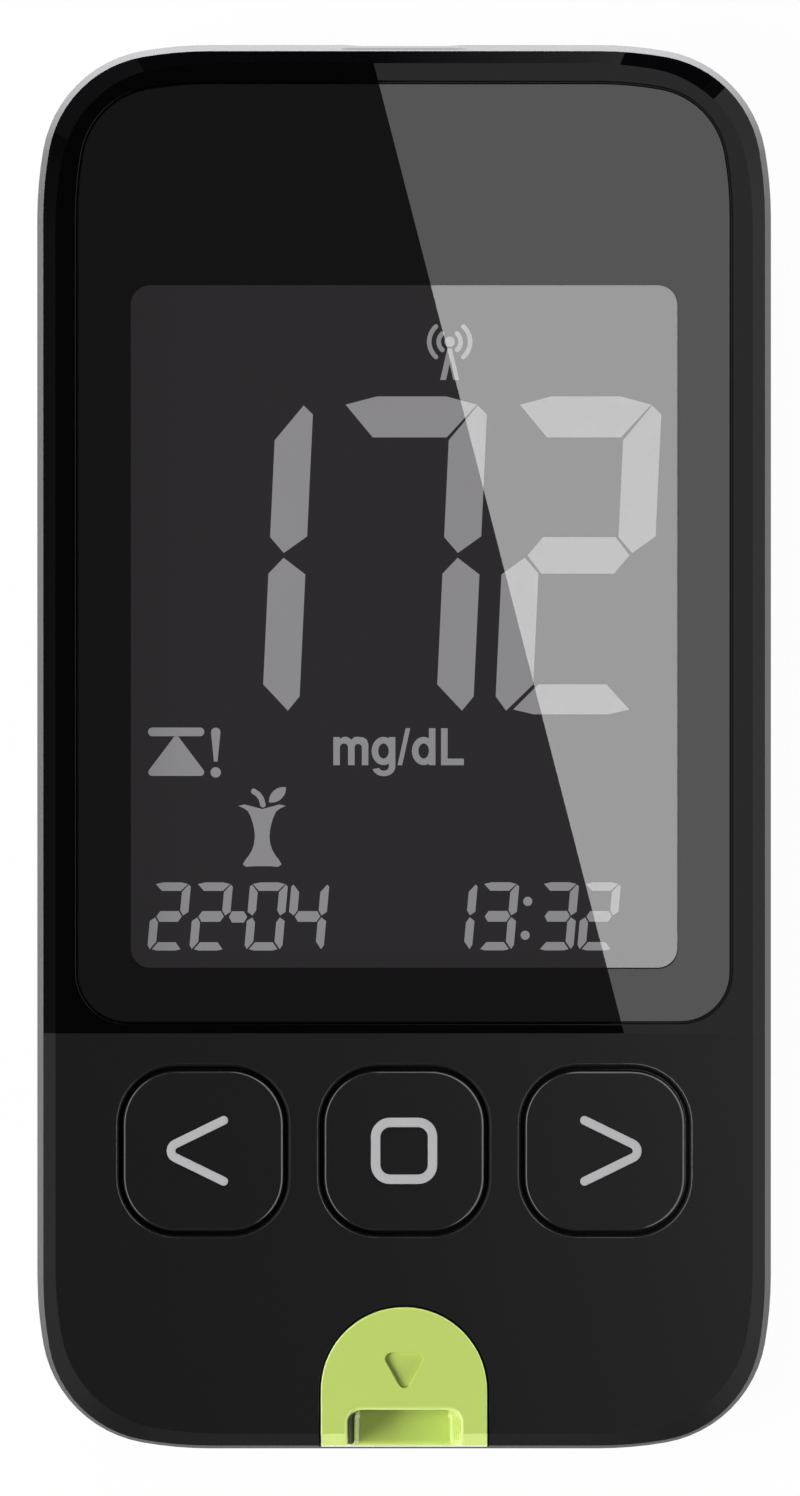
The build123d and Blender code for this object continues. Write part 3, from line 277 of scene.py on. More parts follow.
def front_cover_finish():
    """Black plastic, polished above the line and finely textured below it, where the
    broken edges of the key holes are rubbed bright."""
    finish = new_finish("front_cover_black")
    [y] = finish.axes("Y")
    textured = y < polish_line
    grain = finish.grain(fine_grain)
    inside_bevel = finish.within(flat_width, flat_length, flat_corner)
    edges = finish.broken_edges(0.1 * mm, inside_bevel)
    polished_black, textured_black = (0.0003, 0.0003, 0.0004), (0.0055, 0.0055, 0.0057)
    shader = finish.skin(
        Base_Color=finish.mix(textured, polished_black, textured_black),
        Roughness=between(textured, 0.01 * finish.grain(8 * mm), 0.4 + 0.1 * grain),
        Normal=finish.bump(grain * textured, fine_grain_depth, edges),
        Specular_IOR_Level=black_gloss,
        Coat_Weight=finish.sloping(edges) * inside_bevel * textured,
        Coat_IOR=2.2,
        Coat_Roughness=0.12,
    )
    return finish.show(shader)


def lens_finish():
    """Clear plate with a black print round the window, which doesn't gleam itself: the
    display's film under it has the gloss of both."""
    finish = new_finish("lens_clear_and_print")
    window = finish.within(window_width, window_length, window_corner, window_y)
    darker, black = (0.0034, 0.0029, 0.0034), (0.0042, 0.0036, 0.0042)
    ink = finish.skin(
        Base_Color=finish.mix(finish.grain(3 * mm), darker, black),
        Roughness=0.01 * finish.grain(12 * mm),
        IOR=1.5,
    )
    clear = finish.node("ShaderNodeBsdfTransparent")
    return finish.show(finish.mix_shaders(window, ink, clear))


def screen_finish(name, colour, glow=0.0):
    """The display's smooth film. Its ground or its marks show by light from behind, for
    that share of their colour."""
    finish = new_finish(name)
    shown = finish.mix(finish.grain(6 * mm), shaded(colour, 0.96), colour)
    shader = finish.skin(
        Base_Color=finish.mix(glow, shown, (0, 0, 0)),
        Roughness=0.01 * finish.grain(10 * mm),
        IOR=film_ior,
        Emission_Color=shown,
        Emission_Strength=glow,
    )
    return finish.show(shader)


def moulded_finish(name, colour, roughness, grain_size, grain_depth, gloss=0.5):
    """Moulded plastic with a fine grain and a faint drift in its colour."""
    finish = new_finish(name)
    grain = finish.grain(grain_size)
    shader = finish.skin(
        Base_Color=finish.mix(finish.grain(7 * mm), shaded(colour, 0.93), colour),
        Roughness=roughness + 0.08 * (grain - 0.5),
        Normal=finish.bump(grain, grain_depth),
        Specular_IOR_Level=gloss,
    )
    return finish.show(shader)


def key_finish():
    """Fine-grained black plastic, rubbed bright along its rounded edges."""
    finish = new_finish("key_black")
    grain = finish.grain(fine_grain)
    edges = finish.broken_edges(0.1 * mm)
    darker, black = (0.0052, 0.0052, 0.0054), (0.0057, 0.0057, 0.0059)
    shader = finish.skin(
        Base_Color=finish.mix(finish.grain(7 * mm), darker, black),
        Roughness=0.4 + 0.1 * grain,
        Normal=finish.bump(grain, fine_grain_depth, edges),
        Specular_IOR_Level=black_gloss,
        Coat_Weight=finish.sloping(edges),
        Coat_IOR=1.65,
        Coat_Roughness=0.12,
    )
    return finish.show(shader)


def port_finish():
    """Bright green plastic under a smooth skin. Its flanks down in the gap and the steep
    left wall of the pocket are painted near black and matt, as shade."""
    finish = new_finish("port_green")
    edges = finish.broken_edges(0.08 * mm)
    x, y, z = finish.axes("XYZ")

    # The left wall of the pocket, where it is steep, but not its foot. It is painted dark as shade.
    wall_x, foot_z = -2.5 * mm, pocket_floor_z + 0.15 * mm
    shaded_pocket_wall = (x < wall_x) * (y < pocket_end_y) * (z > foot_z)
    lean = finish.node("ShaderNodeSeparateXYZ", None, [edges], "X")
    upright = ((lean - 0.45) / 0.3).math("MAXIMUM", 0).math("MINIMUM", 1)

    # The flanks and the flange, from a little below the rim of the port's face, painted black as
    # the shade down in the gap between port and cover
    rim_z = face_z - 0.12 * mm
    past_arch = (y - arch_y).math("MAXIMUM", 0)
    gap_shaded_flank = (x * x + past_arch * past_arch > port_reach**2) * (z < rim_z)

    # Painted shade: near black, rougher and without the coat's gloss, on the flanks and on the
    # pocket's left wall
    black = gap_shaded_flank.math("MAXIMUM", shaded_pocket_wall * upright)
    darker, green = (0.478, 0.618, 0.125), (0.488, 0.632, 0.13)
    skin_colour = finish.mix(finish.grain(6 * mm), darker, green)
    shader = finish.skin(
        Base_Color=finish.mix(black, skin_colour, (0.015, 0.02, 0.004)),
        Roughness=0.4 + 0.06 * finish.grain(fine_grain) + 0.45 * black,
        Normal=edges,
        Coat_Weight=0.98 - 0.98 * black,
        Coat_IOR=1.7,
        Coat_Roughness=0.07,
    )
    return finish.show(shader)


def metal_finish(name, colour, roughness, brush=(1, 1, 1)):
    """Bare metal, brushed along the axes where brush is long."""
    finish = new_finish(name)
    lines = finish.grain(0.1 * mm, 3, brush)
    shader = finish.skin(
        Base_Color=finish.mix(finish.grain(2 * mm), shaded(colour, 0.85), colour),
        Metallic=1.0,
        Roughness=roughness + 0.15 * (lines - 0.5),
        Normal=finish.bump(lines, 0.002 * mm),
    )
    return finish.show(shader)


def label_finish():
    """Blank film label with a thin frame line."""
    finish = new_finish("label_film")
    x, y = finish.axes("XY")
    low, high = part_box("rear_label")
    inset, half_line = 1.2 * mm, 0.08 * mm
    edge_x = abs(x) - (high.x - inset)
    edge_y = abs(y - (low.y + high.y) / 2) - ((high.y - low.y) / 2 - inset)
    line = abs(edge_x.math("MAXIMUM", edge_y)) < half_line
    shader = finish.skin(
        Base_Color=finish.mix(line, (0.55, 0.55, 0.54), (0.2, 0.2, 0.2)),
        Roughness=0.45 + 0.1 * finish.grain(0.3 * mm),
    )
    return finish.show(shader)


# ---- Finishes of the pieces inside -----------------------------------------------

def coin_cell_finish(node):
    """Steel cell, turned in fine rings, with a stamped plus."""
    finish = new_finish(node + "_steel")
    x, y = finish.axes("XY")
    low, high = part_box(node)
    from_middle_x = x - (low.x + high.x) / 2
    from_middle_y = y - (low.y + high.y) / 2
    radius = (from_middle_x * from_middle_x + from_middle_y * from_middle_y).math("SQRT")
    rings_to_the_metre = 9000.0
    rings = finish.node(
        "ShaderNodeTexNoise", {"noise_dimensions": "1D"}, {"W": radius, "Scale": rings_to_the_metre}
    )
    arm, half_stroke = 2.2 * mm, 0.35 * mm
    bar = (abs(from_middle_x) < arm) * (abs(from_middle_y) < half_stroke)
    post = (abs(from_middle_x) < half_stroke) * (abs(from_middle_y) < arm)
    plus = bar.math("MAXIMUM", post)
    shader = finish.skin(
        Base_Color=finish.mix(plus, (0.62, 0.61, 0.59), (0.34, 0.33, 0.32)),
        Metallic=1.0,
        Roughness=0.24 + 0.14 * rings,
        Normal=finish.bump(rings * 0.2 - plus, 0.02 * mm),
    )
    return finish.show(shader)


def board_finish():
    """Green solder mask over copper tracks and plated holes."""
    finish = new_finish("board_mask")
    x, y = finish.axes("XY")
    pitch, filled = 0.8 * mm, 0.35
    run_x = (x / pitch).math("FRACT") < filled
    run_y = (y / pitch).math("FRACT") < filled
    across = finish.grain(5 * mm) > 0.5
    tracks = between(across, run_x, run_y)
    holes_to_the_metre, hole_share = 400.0, 0.13
    from_hole = finish.node(
        "ShaderNodeTexVoronoi", None, {"Vector": finish.place(), "Scale": holes_to_the_metre}
    )
    hole = from_hole < hole_share
    mask = finish.mix(tracks, (0.004, 0.045, 0.016), (0.008, 0.085, 0.03))
    shader = finish.skin(
        Base_Color=finish.mix(hole, mask, (0.72, 0.53, 0.22)),
        Metallic=hole,
        Roughness=0.32 + 0.1 * finish.grain(0.2 * mm),
        Normal=finish.bump(tracks, 0.02 * mm),
    )
    return finish.show(shader)


def contact_strip_finish():
    """Elastomer strip of black conducting layers between pale insulating ones."""
    finish = new_finish("contact_strip_layers")
    [x] = finish.axes("X")
    pitch = 0.2 * mm
    layer = (x / pitch).math("FRACT") < 0.5
    shader = finish.skin(
        Base_Color=finish.mix(layer, (0.55, 0.42, 0.40), (0.01, 0.01, 0.01)),
        Roughness=0.6 + 0.1 * finish.grain(0.1 * mm),
    )
    return finish.show(shader)


def glass_finish(name, tint):
    """Display glass or a clear moulding, pale and smooth."""
    finish = new_finish(name)
    shader = finish.skin(
        Base_Color=finish.mix(finish.grain(5 * mm), shaded(tint, 0.95), tint),
        Roughness=0.04 + 0.03 * finish.grain(2 * mm),
        IOR=1.5,
    )
    return finish.show(shader)


def led_finish():
    """White package with a yellow phosphor face towards the light guide."""
    finish = new_finish("led_package")
    [y] = finish.axes("Y")
    phosphor = 0.15 * mm
    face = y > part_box("backlight_leds")[1].y - phosphor
    shader = finish.skin(
        Base_Color=finish.mix(face, (0.75, 0.75, 0.73), (0.80, 0.66, 0.10)),
        Roughness=0.4 + 0.1 * finish.grain(0.1 * mm),
    )
    return finish.show(shader)


def dress_nodes():
    """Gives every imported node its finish."""
    keys = key_finish()
    shell = moulded_finish(
        "shell_graphite", (0.061, 0.061, 0.063), 0.7, 0.15 * mm, 0.006 * mm, 0.1
    )
    chip = moulded_finish("chip_epoxy", (0.012, 0.012, 0.013), 0.55, 0.08 * mm, 0.004 * mm)
    spring = metal_finish("spring_steel", (0.55, 0.55, 0.54), 0.25, (6, 1, 1))
    gold = metal_finish("gold_plating", (0.86, 0.62, 0.26), 0.22)
    nickel = metal_finish("nickel_plating", (0.60, 0.59, 0.56), 0.28, (8, 1, 1))
    finishes = {
        "front_cover": front_cover_finish(),
        "display_lens": lens_finish(),
        "lens_tape": moulded_finish("tape_black", (0.01, 0.01, 0.01), 0.7, 0.3 * mm, 0.01 * mm),
        "display_gasket": moulded_finish(
            "gasket_foam", (0.012, 0.012, 0.012), 0.9, 0.15 * mm, 0.05 * mm, 0.2
        ),
        "front_polariser": screen_finish("display_ground", (0.0120, 0.0100, 0.0118), 0.8),
        "front_glass": glass_finish("front_glass_pale", (0.42, 0.46, 0.44)),
        "rear_glass": glass_finish("rear_glass_pale", (0.40, 0.44, 0.42)),
        "rear_polariser": screen_finish("polariser_film", (0.05, 0.052, 0.056)),
        "light_guide": glass_finish("light_guide_clear", (0.75, 0.77, 0.78)),
        "reflector_sheet": moulded_finish(
            "reflector_white", (0.86, 0.86, 0.86), 0.35, 0.2 * mm, 0.002 * mm
        ),
        "backlight_leds": led_finish(),
        "display_frame": moulded_finish(
            "frame_white", (0.78, 0.78, 0.76), 0.5, 0.2 * mm, 0.004 * mm
        ),
        "contact_strip": contact_strip_finish(),
        "main_board": board_finish(),
        "main_chip": chip,
        "memory_chip": chip,
        "radio_module": metal_finish("radio_can_tin", (0.66, 0.66, 0.65), 0.3, (1, 10, 1)),
        "timing_crystal": nickel,
        "buzzer": moulded_finish(
            "buzzer_black", (0.015, 0.015, 0.015), 0.5, 0.1 * mm, 0.004 * mm
        ),
        "left_snap_dome": spring,
        "main_snap_dome": spring,
        "right_snap_dome": spring,
        "keypad_mat": moulded_finish(
            "mat_silicone", (0.30, 0.31, 0.32), 0.65, 0.25 * mm, 0.004 * mm
        ),
        "left_button": keys,
        "main_button": keys,
        "right_button": keys,
        "strip_port": port_finish(),
        "strip_connector": moulded_finish(
            "connector_natural", (0.62, 0.58, 0.46), 0.45, 0.2 * mm, 0.004 * mm
        ),
        "strip_contacts": gold,
        "data_port_shell": nickel,
        "data_port_tongue": moulded_finish(
            "tongue_black", (0.01, 0.01, 0.01), 0.4, 0.1 * mm, 0.002 * mm
        ),
        "rear_cover": shell,
        "battery_door": shell,
        "ejector_slider": shell,
        "ejector_spring": spring,
        "left_coin_cell": coin_cell_finish("left_coin_cell"),
        "right_coin_cell": coin_cell_finish("right_coin_cell"),
        "negative_contacts": nickel,
        "positive_contacts": nickel,
        "case_screws": metal_finish("screw_black_zinc", (0.09, 0.09, 0.1), 0.35),
        "board_screws": metal_finish("screw_zinc", (0.58, 0.58, 0.6), 0.3),
        "rear_label": label_finish(),
    }
    for node, finish in finishes.items():
        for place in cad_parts[node].material_slots:
            place.material = finish


# ---- Flat marks ------------------------------------------------------------------

def arc(centre, radius, start, end, steps=16):
    """Points along an arc, its angles in degrees."""
    turns = [radians(start + (end - start) * step / steps) for step in range(steps + 1)]
    return [(centre[0] + radius * cos(turn), centre[1] + radius * sin(turn)) for turn in turns]


def oval(centre, wide, high, start, end):
    """Points along part of an ellipse, its angles in degrees."""
    return [(centre[0] + wide * x, centre[1] + high * y) for x, y in arc((0, 0), 1, start, end)]


def disc(centre, radius):
    """Outline of a round dot."""
    sides = 32
    return arc(centre, radius, 0, 360 - 360 / sides, sides - 1)


def stroke(points, width):
    """Outline of a line along points, with round ends and corners."""
    half = width / 2
    outline = []
    walk = points + points[-2:0:-1]
    for place, here in enumerate(walk):
        before, after = walk[place - 1], walk[(place + 1) % len(walk)]
        into = atan2(here[1] - before[1], here[0] - before[0])
        out = atan2(after[1] - here[1], after[0] - here[0])
        turn = (out - into) % (2 * pi)
        if turn <= pi + 1e-6:
            start, end = into - pi / 2, into - pi / 2 + turn
            steps = max(2, round(turn / radians(12)))
            outline += arc(here, half, degrees(start), degrees(end), steps)
        else:
            bend = into + (turn - 2 * pi) / 2 - pi / 2
            reach = half / cos((2 * pi - turn) / 2)
            outline.append((here[0] + reach * cos(bend), here[1] + reach * sin(bend)))
    return outline


def rounded_box(width, height, radius, centre=(0, 0)):
    """Outline of a rectangle with round corners."""
    x, y = width / 2 - radius, height / 2 - radius
    outline = []
    for side_x, side_y, start in ((1, 1, 0), (-1, 1, 90), (-1, -1, 180), (1, -1, 270)):
        corner = (centre[0] + side_x * x, centre[1] + side_y * y)
        outline += arc(corner, radius, start, start + 90, 8)
    return outline


def flat_mark(name, outlines, surface_z, thickness, finish, body):
    """A thin raised mark: outlines in millimetres, holes as outlines inside others."""
    curve = bpy.data.curves.new(name, "CURVE")
    curve.dimensions = "2D"
    curve.fill_mode = "BOTH"
    curve.extrude = thickness / 2
    for outline in outlines:
        spline = curve.splines.new("POLY")
        spline.points.add(len(outline) - 1)
        for point, (x, y) in zip(spline.points, outline):
            point.co = (x * mm, y * mm, 0, 1)
        spline.use_cyclic_u = True
    drawn = bpy.data.objects.new(name, curve)
    put_in_scene(drawn)
    evaluated = drawn.evaluated_get(bpy.context.evaluated_depsgraph_get())
    mesh = bpy.data.meshes.new_from_object(evaluated)
    bpy.data.objects.remove(drawn)
    for vertex in mesh.vertices:
        vertex.co.z += surface_z + thickness / 2
    mesh.name = name
    mesh.materials.clear()
    mesh.materials.append(finish)
    mark = bpy.data.objects.new(name, mesh)
    put_in_scene(mark)
    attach(mark, body)


# The segments that each digit lights: a at the top, then clockwise, g in the middle
lit_segments = {"0": "abcdef", "1": "bc", "2": "abdeg", "3": "abcdg", "4": "bcfg", "7": "abc"}


def digit_segments(width, height, upright, top, middle, bottom):
    """Outlines of the seven segments, from the digit's middle. The last four sizes are
    the thickness of the upright, upper, middle and lower segments."""
    w, h, inner = width / 2, height / 2, width / 2 - upright
    tip = inner + 0.39 * upright
    cut = 0.26 * upright
    right_upper = [
        (w - cut, h - 0.22 * top), (w, h - 0.44 * top), (w, 0.12 * h), (tip, 0.015 * h),
        (inner, middle / 2), (inner, h - 1.07 * top),
    ]
    right_lower = [
        (tip, -0.015 * h), (w, -0.12 * h), (w, 0.6 * bottom - h),
        (w - 0.3 * upright, 0.12 * bottom - h), (inner, bottom - h), (inner, -middle / 2),
    ]
    upper = [
        (w - 1.1 * cut, h - 0.2 * top), (inner - 0.12 * upright, h), (0.12 * upright - inner, h),
        (1.1 * cut - w, h - 0.2 * top), (0.06 * upright - inner, h - top),
        (inner - 0.06 * upright, h - top),
    ]
    lower = [
        (inner - 0.14 * upright, bottom - h), (tip + 0.12 * upright, 0.16 * bottom - h),
        (inner - 0.05 * upright, -h), (0.05 * upright - inner, -h),
        (-tip - 0.12 * upright, 0.16 * bottom - h), (0.14 * upright - inner, bottom - h),
    ]
    bar = inner - 0.08 * upright
    centre = [
        (-bar, middle / 2), (bar, middle / 2), (tip - 0.07 * upright, 0),
        (bar, -middle / 2), (-bar, -middle / 2), (0.07 * upright - tip, 0),
    ]
    return {
        "a": upper,
        "b": right_upper,
        "c": right_lower,
        "d": lower,
        "e": [(-x, y) for x, y in right_lower],
        "f": [(-x, y) for x, y in right_upper],
        "g": centre,
    }


def drawn_in(outline, gap):
    """The outline with its corners moved that far towards its middle."""
    middle = Vector((0, 0))
    for corner in outline:
        middle += Vector(corner) / len(outline)
    inward = [(middle - Vector(corner)).normalized() for corner in outline]
    return [(x + gap * to.x, y + gap * to.y) for (x, y), to in zip(outline, inward)]


def digits(text, middles, y, lean, gap=0.0, **sizes):
    """Outlines of a row of leaning digits, one at each middle."""
    segments = {
        name: drawn_in(outline, gap) for name, outline in digit_segments(**sizes).items()
    }
    return [
        [(middle + px + lean * py, y + py) for px, py in segments[name]]
        for figure, middle in zip(text, middles)
        for name in lit_segments[figure]
    ]


def display_marks():
    """A reading with its unit, a date, a time and four signs, on the display."""
    lit = screen_finish("display_marks", (0.256, 0.250, 0.260), 0.8)
    depth = 0.015 * mm

    def on_screen(name, outlines):
        flat_mark(name, outlines, screen_z, depth, lit, "case")

    on_screen("reading_digits", digits(
        "172", (-11.39, 0.0, 11.41), 12.62, 0.047,
        width=9.97, height=20.8, upright=2.42, top=2.68, middle=2.39, bottom=1.96,
    ))
    small = dict(
        gap=0.03, width=2.5, height=4.48, upright=0.57, top=0.58, middle=0.73, bottom=0.57
    )
    on_screen("date_digits", digits(
        "2204", (-15.38, -12.63, -9.03, -6.32), -11.01, 0.09, **small
    ))
    on_screen("date_dash", [[
        (-11.46, -11.04), (-11.27, -10.67), (-10.49, -10.67),
        (-10.27, -11.04), (-10.49, -11.41), (-11.27, -11.41),
    ]])
    on_screen("time_digits", digits(
        "1332", (3.39, 6.11, 10.02, 12.76), -11.0, 0.09, **small
    ))
    on_screen("time_colon", [disc((8.09, -10.02), 0.3), disc((7.92, -12.24), 0.3)])

    # High sign: a short bar over a triangle, and an exclamation mark
    on_screen("high_sign", [
        stroke([(-16.47, 1.07), (-13.36, 1.07)], 0.57),
        [
            *arc((-16.50, -1.57), 0.24, 145, 270, 6), *arc((-13.32, -1.57), 0.24, -90, 35, 6),
            (-14.78, 0.77), (-15.04, 0.77),
        ],
        [*arc((-12.33, 1.04), 0.31, 0, 180, 10), (-12.45, -0.87), (-12.21, -0.87)],
        disc((-12.33, -1.58), 0.34),
    ])

    # Meal sign: an apple core with its stalk and a leaf
    middle_x = -9.29
    side = [
        (1.15, -3.68), (1.55, -3.77), (1.2, -3.93), (0.93, -4.12), (0.74, -4.5), (0.6, -4.95),
        (0.51, -5.4), (0.48, -5.8), (0.53, -6.25), (0.66, -6.65), (0.86, -7.0), (1.1, -7.3),
        (1.27, -7.6), (1.05, -7.76), (0.5, -7.72),
    ]
    core = [(middle_x + x, y) for x, y in side] + [(middle_x - x, y) for x, y in side[::-1]]
    core.append((middle_x, -3.98))
    leaf = [*arc((-8.68, -2.61), 0.95, -98, 2, 8), *arc((-7.9, -3.49), 0.95, 82, 182, 8)]
    stalk = stroke([(-9.84, -2.82), (-9.55, -3.02), (-9.35, -3.3), (-9.24, -3.7)], 0.36)
    on_screen("meal_sign", [core, stalk, leaf])

    # Radio sign: a mast with waves to both sides
    mast = (2.98, 26.6)
    waves = []
    for radius in (0.72, 1.34):
        for facing in (0, 180):
            waves.append(stroke(arc(mast, radius, facing - 48, facing + 48, 12), 0.3))
    on_screen("radio_sign", [
        disc(mast, 0.34), *waves,
        [
            (2.83, 26.15), (3.13, 26.15), (3.6, 24.1), (3.22, 24.1),
            (2.98, 25.15), (2.74, 24.1), (2.36, 24.1),
        ],
    ])

    on_screen("unit_sign", unit_letters())


def unit_letters():
    """Outlines of mg/dL, in a plain bold face."""
    low, top, high, half = -1.11, 0.73, 1.31, 0.215
    left, middle, right = -4.42, -3.456, -2.554
    inner = 0.05
    first = arc(((left + middle) / 2, inner), (middle - left) / 2 - half, 180, 0, 8)
    second = arc(((middle + right) / 2, inner), (right - middle) / 2 - half, 180, 0, 8)
    m = [
        (left - half, low), (left - half, top), (left + half, top), (left + half, top - 0.12),
        (left + 0.43, top + 0.01), (left + 0.62, top + 0.02),
        (middle - 0.2, top - 0.02), (middle, top - 0.16),
        (middle + 0.22, top + 0.01), (middle + 0.45, top + 0.02), (right - 0.12, top - 0.02),
        (right + 0.1, top - 0.15), (right + half, top - 0.45), (right + half, low),
        (right - half, low), *second[::-1], (middle + half, low),
        (middle - half, low), *first[::-1], (left + half, low),
    ]
    bowl_y, wide, tall = -0.18, 0.775, 0.925
    g_stem, d_stem, l_stem = -0.79, 1.835, 2.63
    g_bowl, d_bowl = g_stem - 0.565, d_stem - 0.555
    g = [
        (g_stem + half, top),
        *oval((g_bowl + 0.025, -1.2), 0.755, 0.63, 0, -165),
        *oval((g_bowl + 0.025, -1.2), 0.325, 0.27, -160, 0),
        *oval((g_bowl, bowl_y), wide, tall, -63, -297),
        (g_stem - half, top),
    ]
    d = [
        (d_stem - half, high), (d_stem + half, high), (d_stem + half, low), (d_stem - half, low),
        *oval((d_bowl, bowl_y), wide, tall, -64, -296),
    ]
    holes = [oval((x, bowl_y), 0.345, 0.5, 0, 338) for x in (g_bowl + 0.005, d_bowl)]
    slash = [(-0.43, low), (-0.13, low), (0.4, high), (0.1, high)]
    foot = low + 2 * half
    l = [
        (l_stem - half, low), (3.91, low), (3.91, foot), (l_stem + half, foot),
        (l_stem + half, high), (l_stem - half, high),
    ]
    return [m, g, slash, d, l, *holes]


def key_marks():
    """An arrowhead on each outer key and a rounded square on the main one."""
    ink = moulded_finish("key_mark_grey", (0.43, 0.43, 0.44), 0.5, 0.1 * mm, 0.002 * mm, 0.3)
    depth = 0.012 * mm
    low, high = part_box("main_button")
    middle = (low.y + high.y) / 2 / mm
    line = 0.58
    half_height = 1.99
    tip_x, open_x = 15.88, 11.8
    slope = degrees(atan2(half_height, tip_x - open_x))
    bend = 0.5
    bend_x = tip_x - bend / sin(radians(slope))
    for side, name in ((-1, "left"), (1, "right")):
        turn = 90 - slope
        points = [
            (open_x, middle + half_height),
            *arc((bend_x, middle), bend, turn, -turn, 12),
            (open_x, middle - half_height),
        ]
        outline = stroke([(side * x, y) for x, y in points], line)
        flat_mark(name + "_key_mark", [outline], face_z, depth, ink, name + "_key")
    outer, rim = 4.34, 0.62
    inner = outer - 2 * rim
    square = [
        rounded_box(outer, outer, 1.25, (0, middle)),
        rounded_box(inner, inner, 0.65, (0, middle)),
    ]
    flat_mark("main_key_mark", square, face_z, depth, ink, "main_key")


# ---- Studio ----------------------------------------------------------------------

box_distance = 0.7
camera_distance = 2.4
camera_tilt = radians(0.6)
frame_height = 97.8 * mm
floor_width = 1.8
floor_drop = 0.05 * mm
target = Vector((-0.27 * mm, 0.04 * mm, face_z))


def studio_camera():
    """A long lens straight over the face, tilted a little towards the top end."""
    data = bpy.data.cameras.new("camera")
    data.lens = data.sensor_width * camera_distance / frame_height
    data.clip_start, data.clip_end = 0.01, 40
    camera = bpy.data.objects.new("camera", data)
    camera.location = target + camera_distance * Vector((0, sin(camera_tilt), cos(camera_tilt)))
    camera.rotation_euler = (-camera_tilt, 0, 0)
    put_in_scene(camera)
    bpy.context.scene.camera = camera


def sheet(width, length, z=0.0):
    """Corners and face of a flat sheet."""
    x, y = width / 2, length / 2
    return [(-x, -y, z), (x, -y, z), (x, y, z), (-x, y, z)], [(0, 1, 2, 3)]


def studio_floor():
    """A pale floor that looks white and takes the meter's shadow. From below it is clear,
    for the eye and for the lamp under it."""
    finish = new_finish("floor_white")
    seen = finish.ray("Camera") + finish.ray("Glossy") + finish.ray("Transmission")
    white_share = 0.97 * seen.math("MINIMUM", 1)
    diffuse = finish.skin(
        Base_Color=finish.mix(finish.grain(40 * mm), (0.78, 0.78, 0.78), (0.8, 0.8, 0.8)),
        Roughness=0.9,
        Specular_IOR_Level=0.0,
    )
    front = finish.mix_shaders(white_share, diffuse, finish.glow(1.0))
    from_below = finish.node("ShaderNodeNewGeometry", output="Backfacing")
    clear = finish.node("ShaderNodeBsdfTransparent")
    clear_share = from_below.math("MAXIMUM", finish.ray("Shadow"))
    finish.show(finish.mix_shaders(clear_share, front, clear))
    mesh = bpy.data.meshes.new("floor")
    points, faces = sheet(floor_width, floor_width, -floor_drop)
    mesh.from_pydata(points, [], faces)
    mesh.materials.append(finish.owner)
    floor = bpy.data.objects.new("floor", mesh)
    put_in_scene(floor)


def studio_world():
    """Even light all round for matt surfaces, white behind the meter, and for gloss a
    grey horizon under a dark ceiling."""
    world = bpy.data.worlds.new("studio")
    bpy.context.scene.world = world
    finish = Finish(world)
    toward = finish.node("ShaderNodeTexCoord", output="Generated")
    height = finish.node("ShaderNodeSeparateXYZ", None, [toward], "Z")
    mirrored = finish.node(
        "ShaderNodeValToRGB",
        {"stops": [(0.44, (1, 1, 1)), (0.485, (0.3, 0.3, 0.3)), (0.62, (0.1, 0.1, 0.1))]},
        [height * 0.5 + 0.5],
    )
    looking = finish.ray("Camera") + finish.ray("Transmission")
    behind = finish.mix(looking, mirrored, (1, 1, 1))
    colour = finish.mix(finish.ray("Diffuse"), behind, (0.06, 0.06, 0.06))
    finish.show(finish.node("ShaderNodeBackground", None, {"Color": colour, "Strength": 1.0}))


def lamp(name, azimuth, elevation, size, level):
    """A soft box that shines on the case from that side and that gloss doesn't show. A
    matt surface square to it shows level times its own colour."""
    data = bpy.data.lights.new(name, "AREA")
    data.shape = "RECTANGLE"
    data.size, data.size_y = size
    data.energy = level * pi**2 * box_distance**2
    box = bpy.data.objects.new(name, data)
    face_the_case(box, azimuth, elevation)
    box.visible_glossy = False


def face_the_case(thing, azimuth, elevation):
    """Puts a lamp or a card on that side, turned to the case."""
    a, e = radians(azimuth), radians(elevation)
    thing.location = box_distance * Vector((cos(e) * sin(a), cos(e) * cos(a), sin(e)))
    thing.rotation_euler = (-thing.location).to_track_quat("-Z", "Y").to_euler()
    put_in_scene(thing)


def glossy_card(name, points, faces, finish):
    """A card that only gloss shows."""
    mesh = bpy.data.meshes.new(name)
    mesh.from_pydata(points, [], faces)
    mesh.materials.append(finish.owner)
    card = bpy.data.objects.new(name, mesh)
    card.visible_camera = False
    card.visible_diffuse = False
    card.visible_shadow = False
    card.visible_transmission = False
    return card


def strip_card(name, azimuth, elevation, size, strength):
    """A bright strip that glints on edges turned to it."""
    finish = new_finish(name)
    finish.show(finish.glow(strength))
    points, faces = sheet(*size)
    face_the_case(glossy_card(name, points, faces, finish), azimuth, elevation)


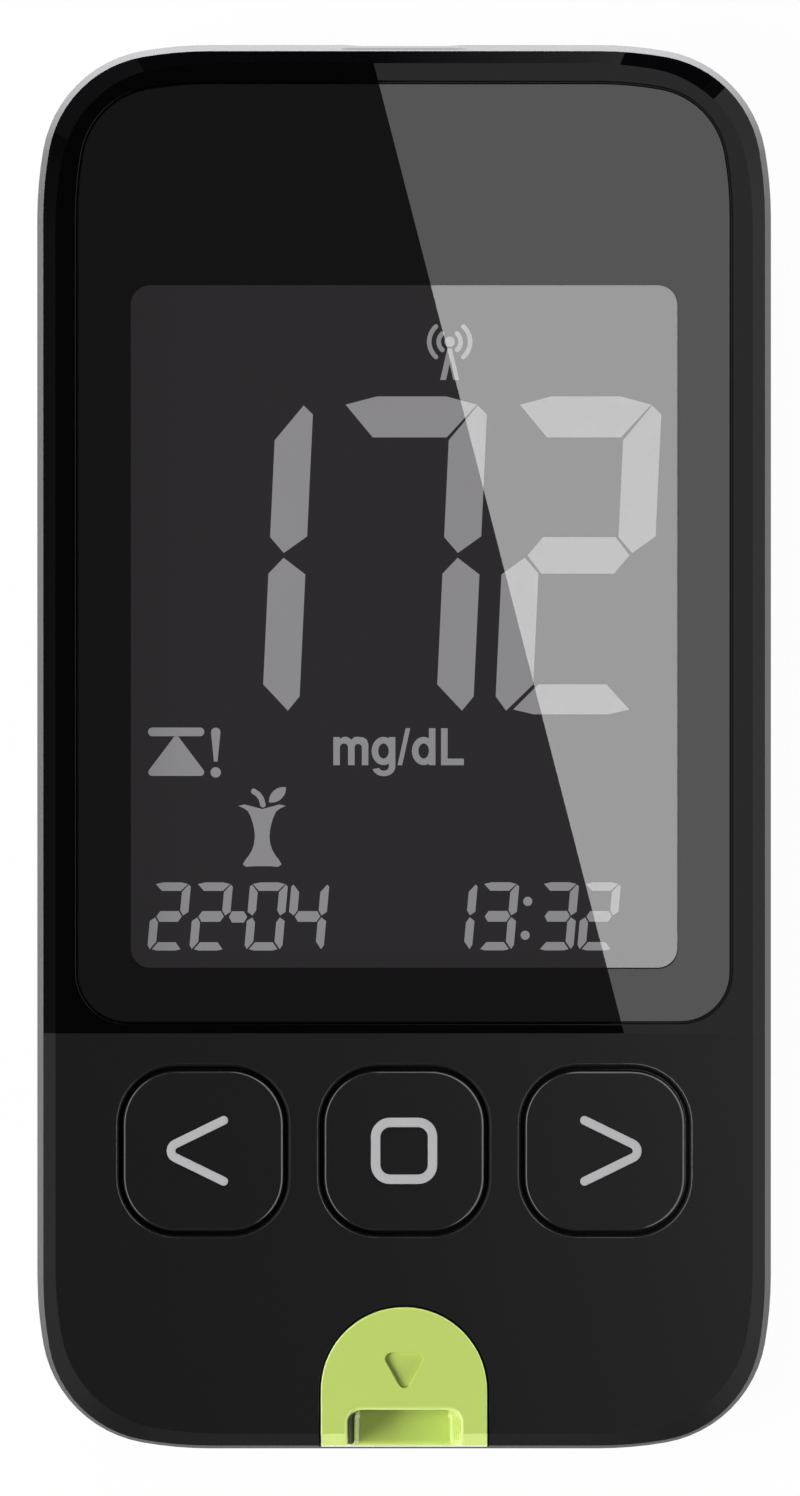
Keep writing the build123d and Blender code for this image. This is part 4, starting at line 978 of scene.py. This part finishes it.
def top_card():
    """A dark card beyond the top end, with a bright patch that grows to the right and a
    grey left end. All show in the polished bevel."""
    finish = new_finish("top_card_grey")
    [x] = finish.axes("X")
    left, right = -2 * mm, 21.3 * mm
    grey_end, grey = -40 * mm, 0.2
    patch = (x - left) / (right - left) * (x > left) * (x < right)
    light = patch + grey * (x < grey_end)
    finish.show(finish.glow(1.5, finish.mix(light, (0, 0, 0), (1, 1, 1))))
    start, end, back, low, high = -260 * mm, 84 * mm, 130 * mm, 1 * mm, 90 * mm
    corners = [(start, back, low), (end, back, low), (end, back, high), (start, back, high)]
    put_in_scene(glossy_card("top_card", corners, [(0, 1, 2, 3)], finish))


def mirrored_in_face(x, y, height):
    """The point at that height over the face which the camera sees at x, y of the face."""
    share = height / (camera_distance * cos(camera_tilt))
    offset_y = y - target.y - camera_distance * sin(camera_tilt)
    return (x + share * (x - target.x), y + share * offset_y, face_z + height)


def glare_card():
    """A pale sail over the right half, falling to the ground at its right side. Its
    slanting edge shows in the polished faces."""
    height = 75 * mm
    top_x, low_x = -1.98 * mm, 14.37 * mm
    top_y, low_y = 44.74 * mm, -18.57 * mm
    slope = (low_x - top_x) / (low_y - top_y)
    straight, reach = 45 * mm, 130 * mm
    front, back = -150 * mm, 146 * mm
    rows, columns = 20, 24
    points = []
    for row in range(rows + 1):
        y = front + (back - front) * row / rows
        edge_x, edge_y, edge_z = mirrored_in_face(top_x + slope * (y - top_y), y, height)
        for column in range(columns + 1):
            x = edge_x + (reach - edge_x) * column / columns
            share = min(1, max(0, (x - straight) / (reach - straight)))
            points.append((x, edge_y, edge_z * (1 - share**4) ** 0.25))
    faces = [
        (corner, corner + columns + 1, corner + columns + 2, corner + 1)
        for row in range(rows)
        for corner in range(row * (columns + 1), row * (columns + 1) + columns)
    ]
    finish = new_finish("glare_card_white")
    finish.show(finish.glow(2.2))
    put_in_scene(glossy_card("glare_card", points, faces, finish))


dress_nodes()
display_marks()
key_marks()
studio_camera()
studio_floor()
studio_world()
glare_card()
top_card()
strip_card("left_strip", -90, 38, (1.4, 0.5), 2.4)
lamp("left_lamp", -105, 38, (0.4, 0.4), 1.2)
lamp("right_lamp", 90, 4, (0.5, 0.1), 0.6)
lamp("top_lamp", -5, 2, (0.5, 0.05), 9.2)
lamp("low_lamp", 180, 15, (0.3, 0.15), 0.5)
lamp("under_lamp", 0, -90, (0.5, 0.5), 0.7)
bpy.context.scene.view_settings.view_transform = "Standard"
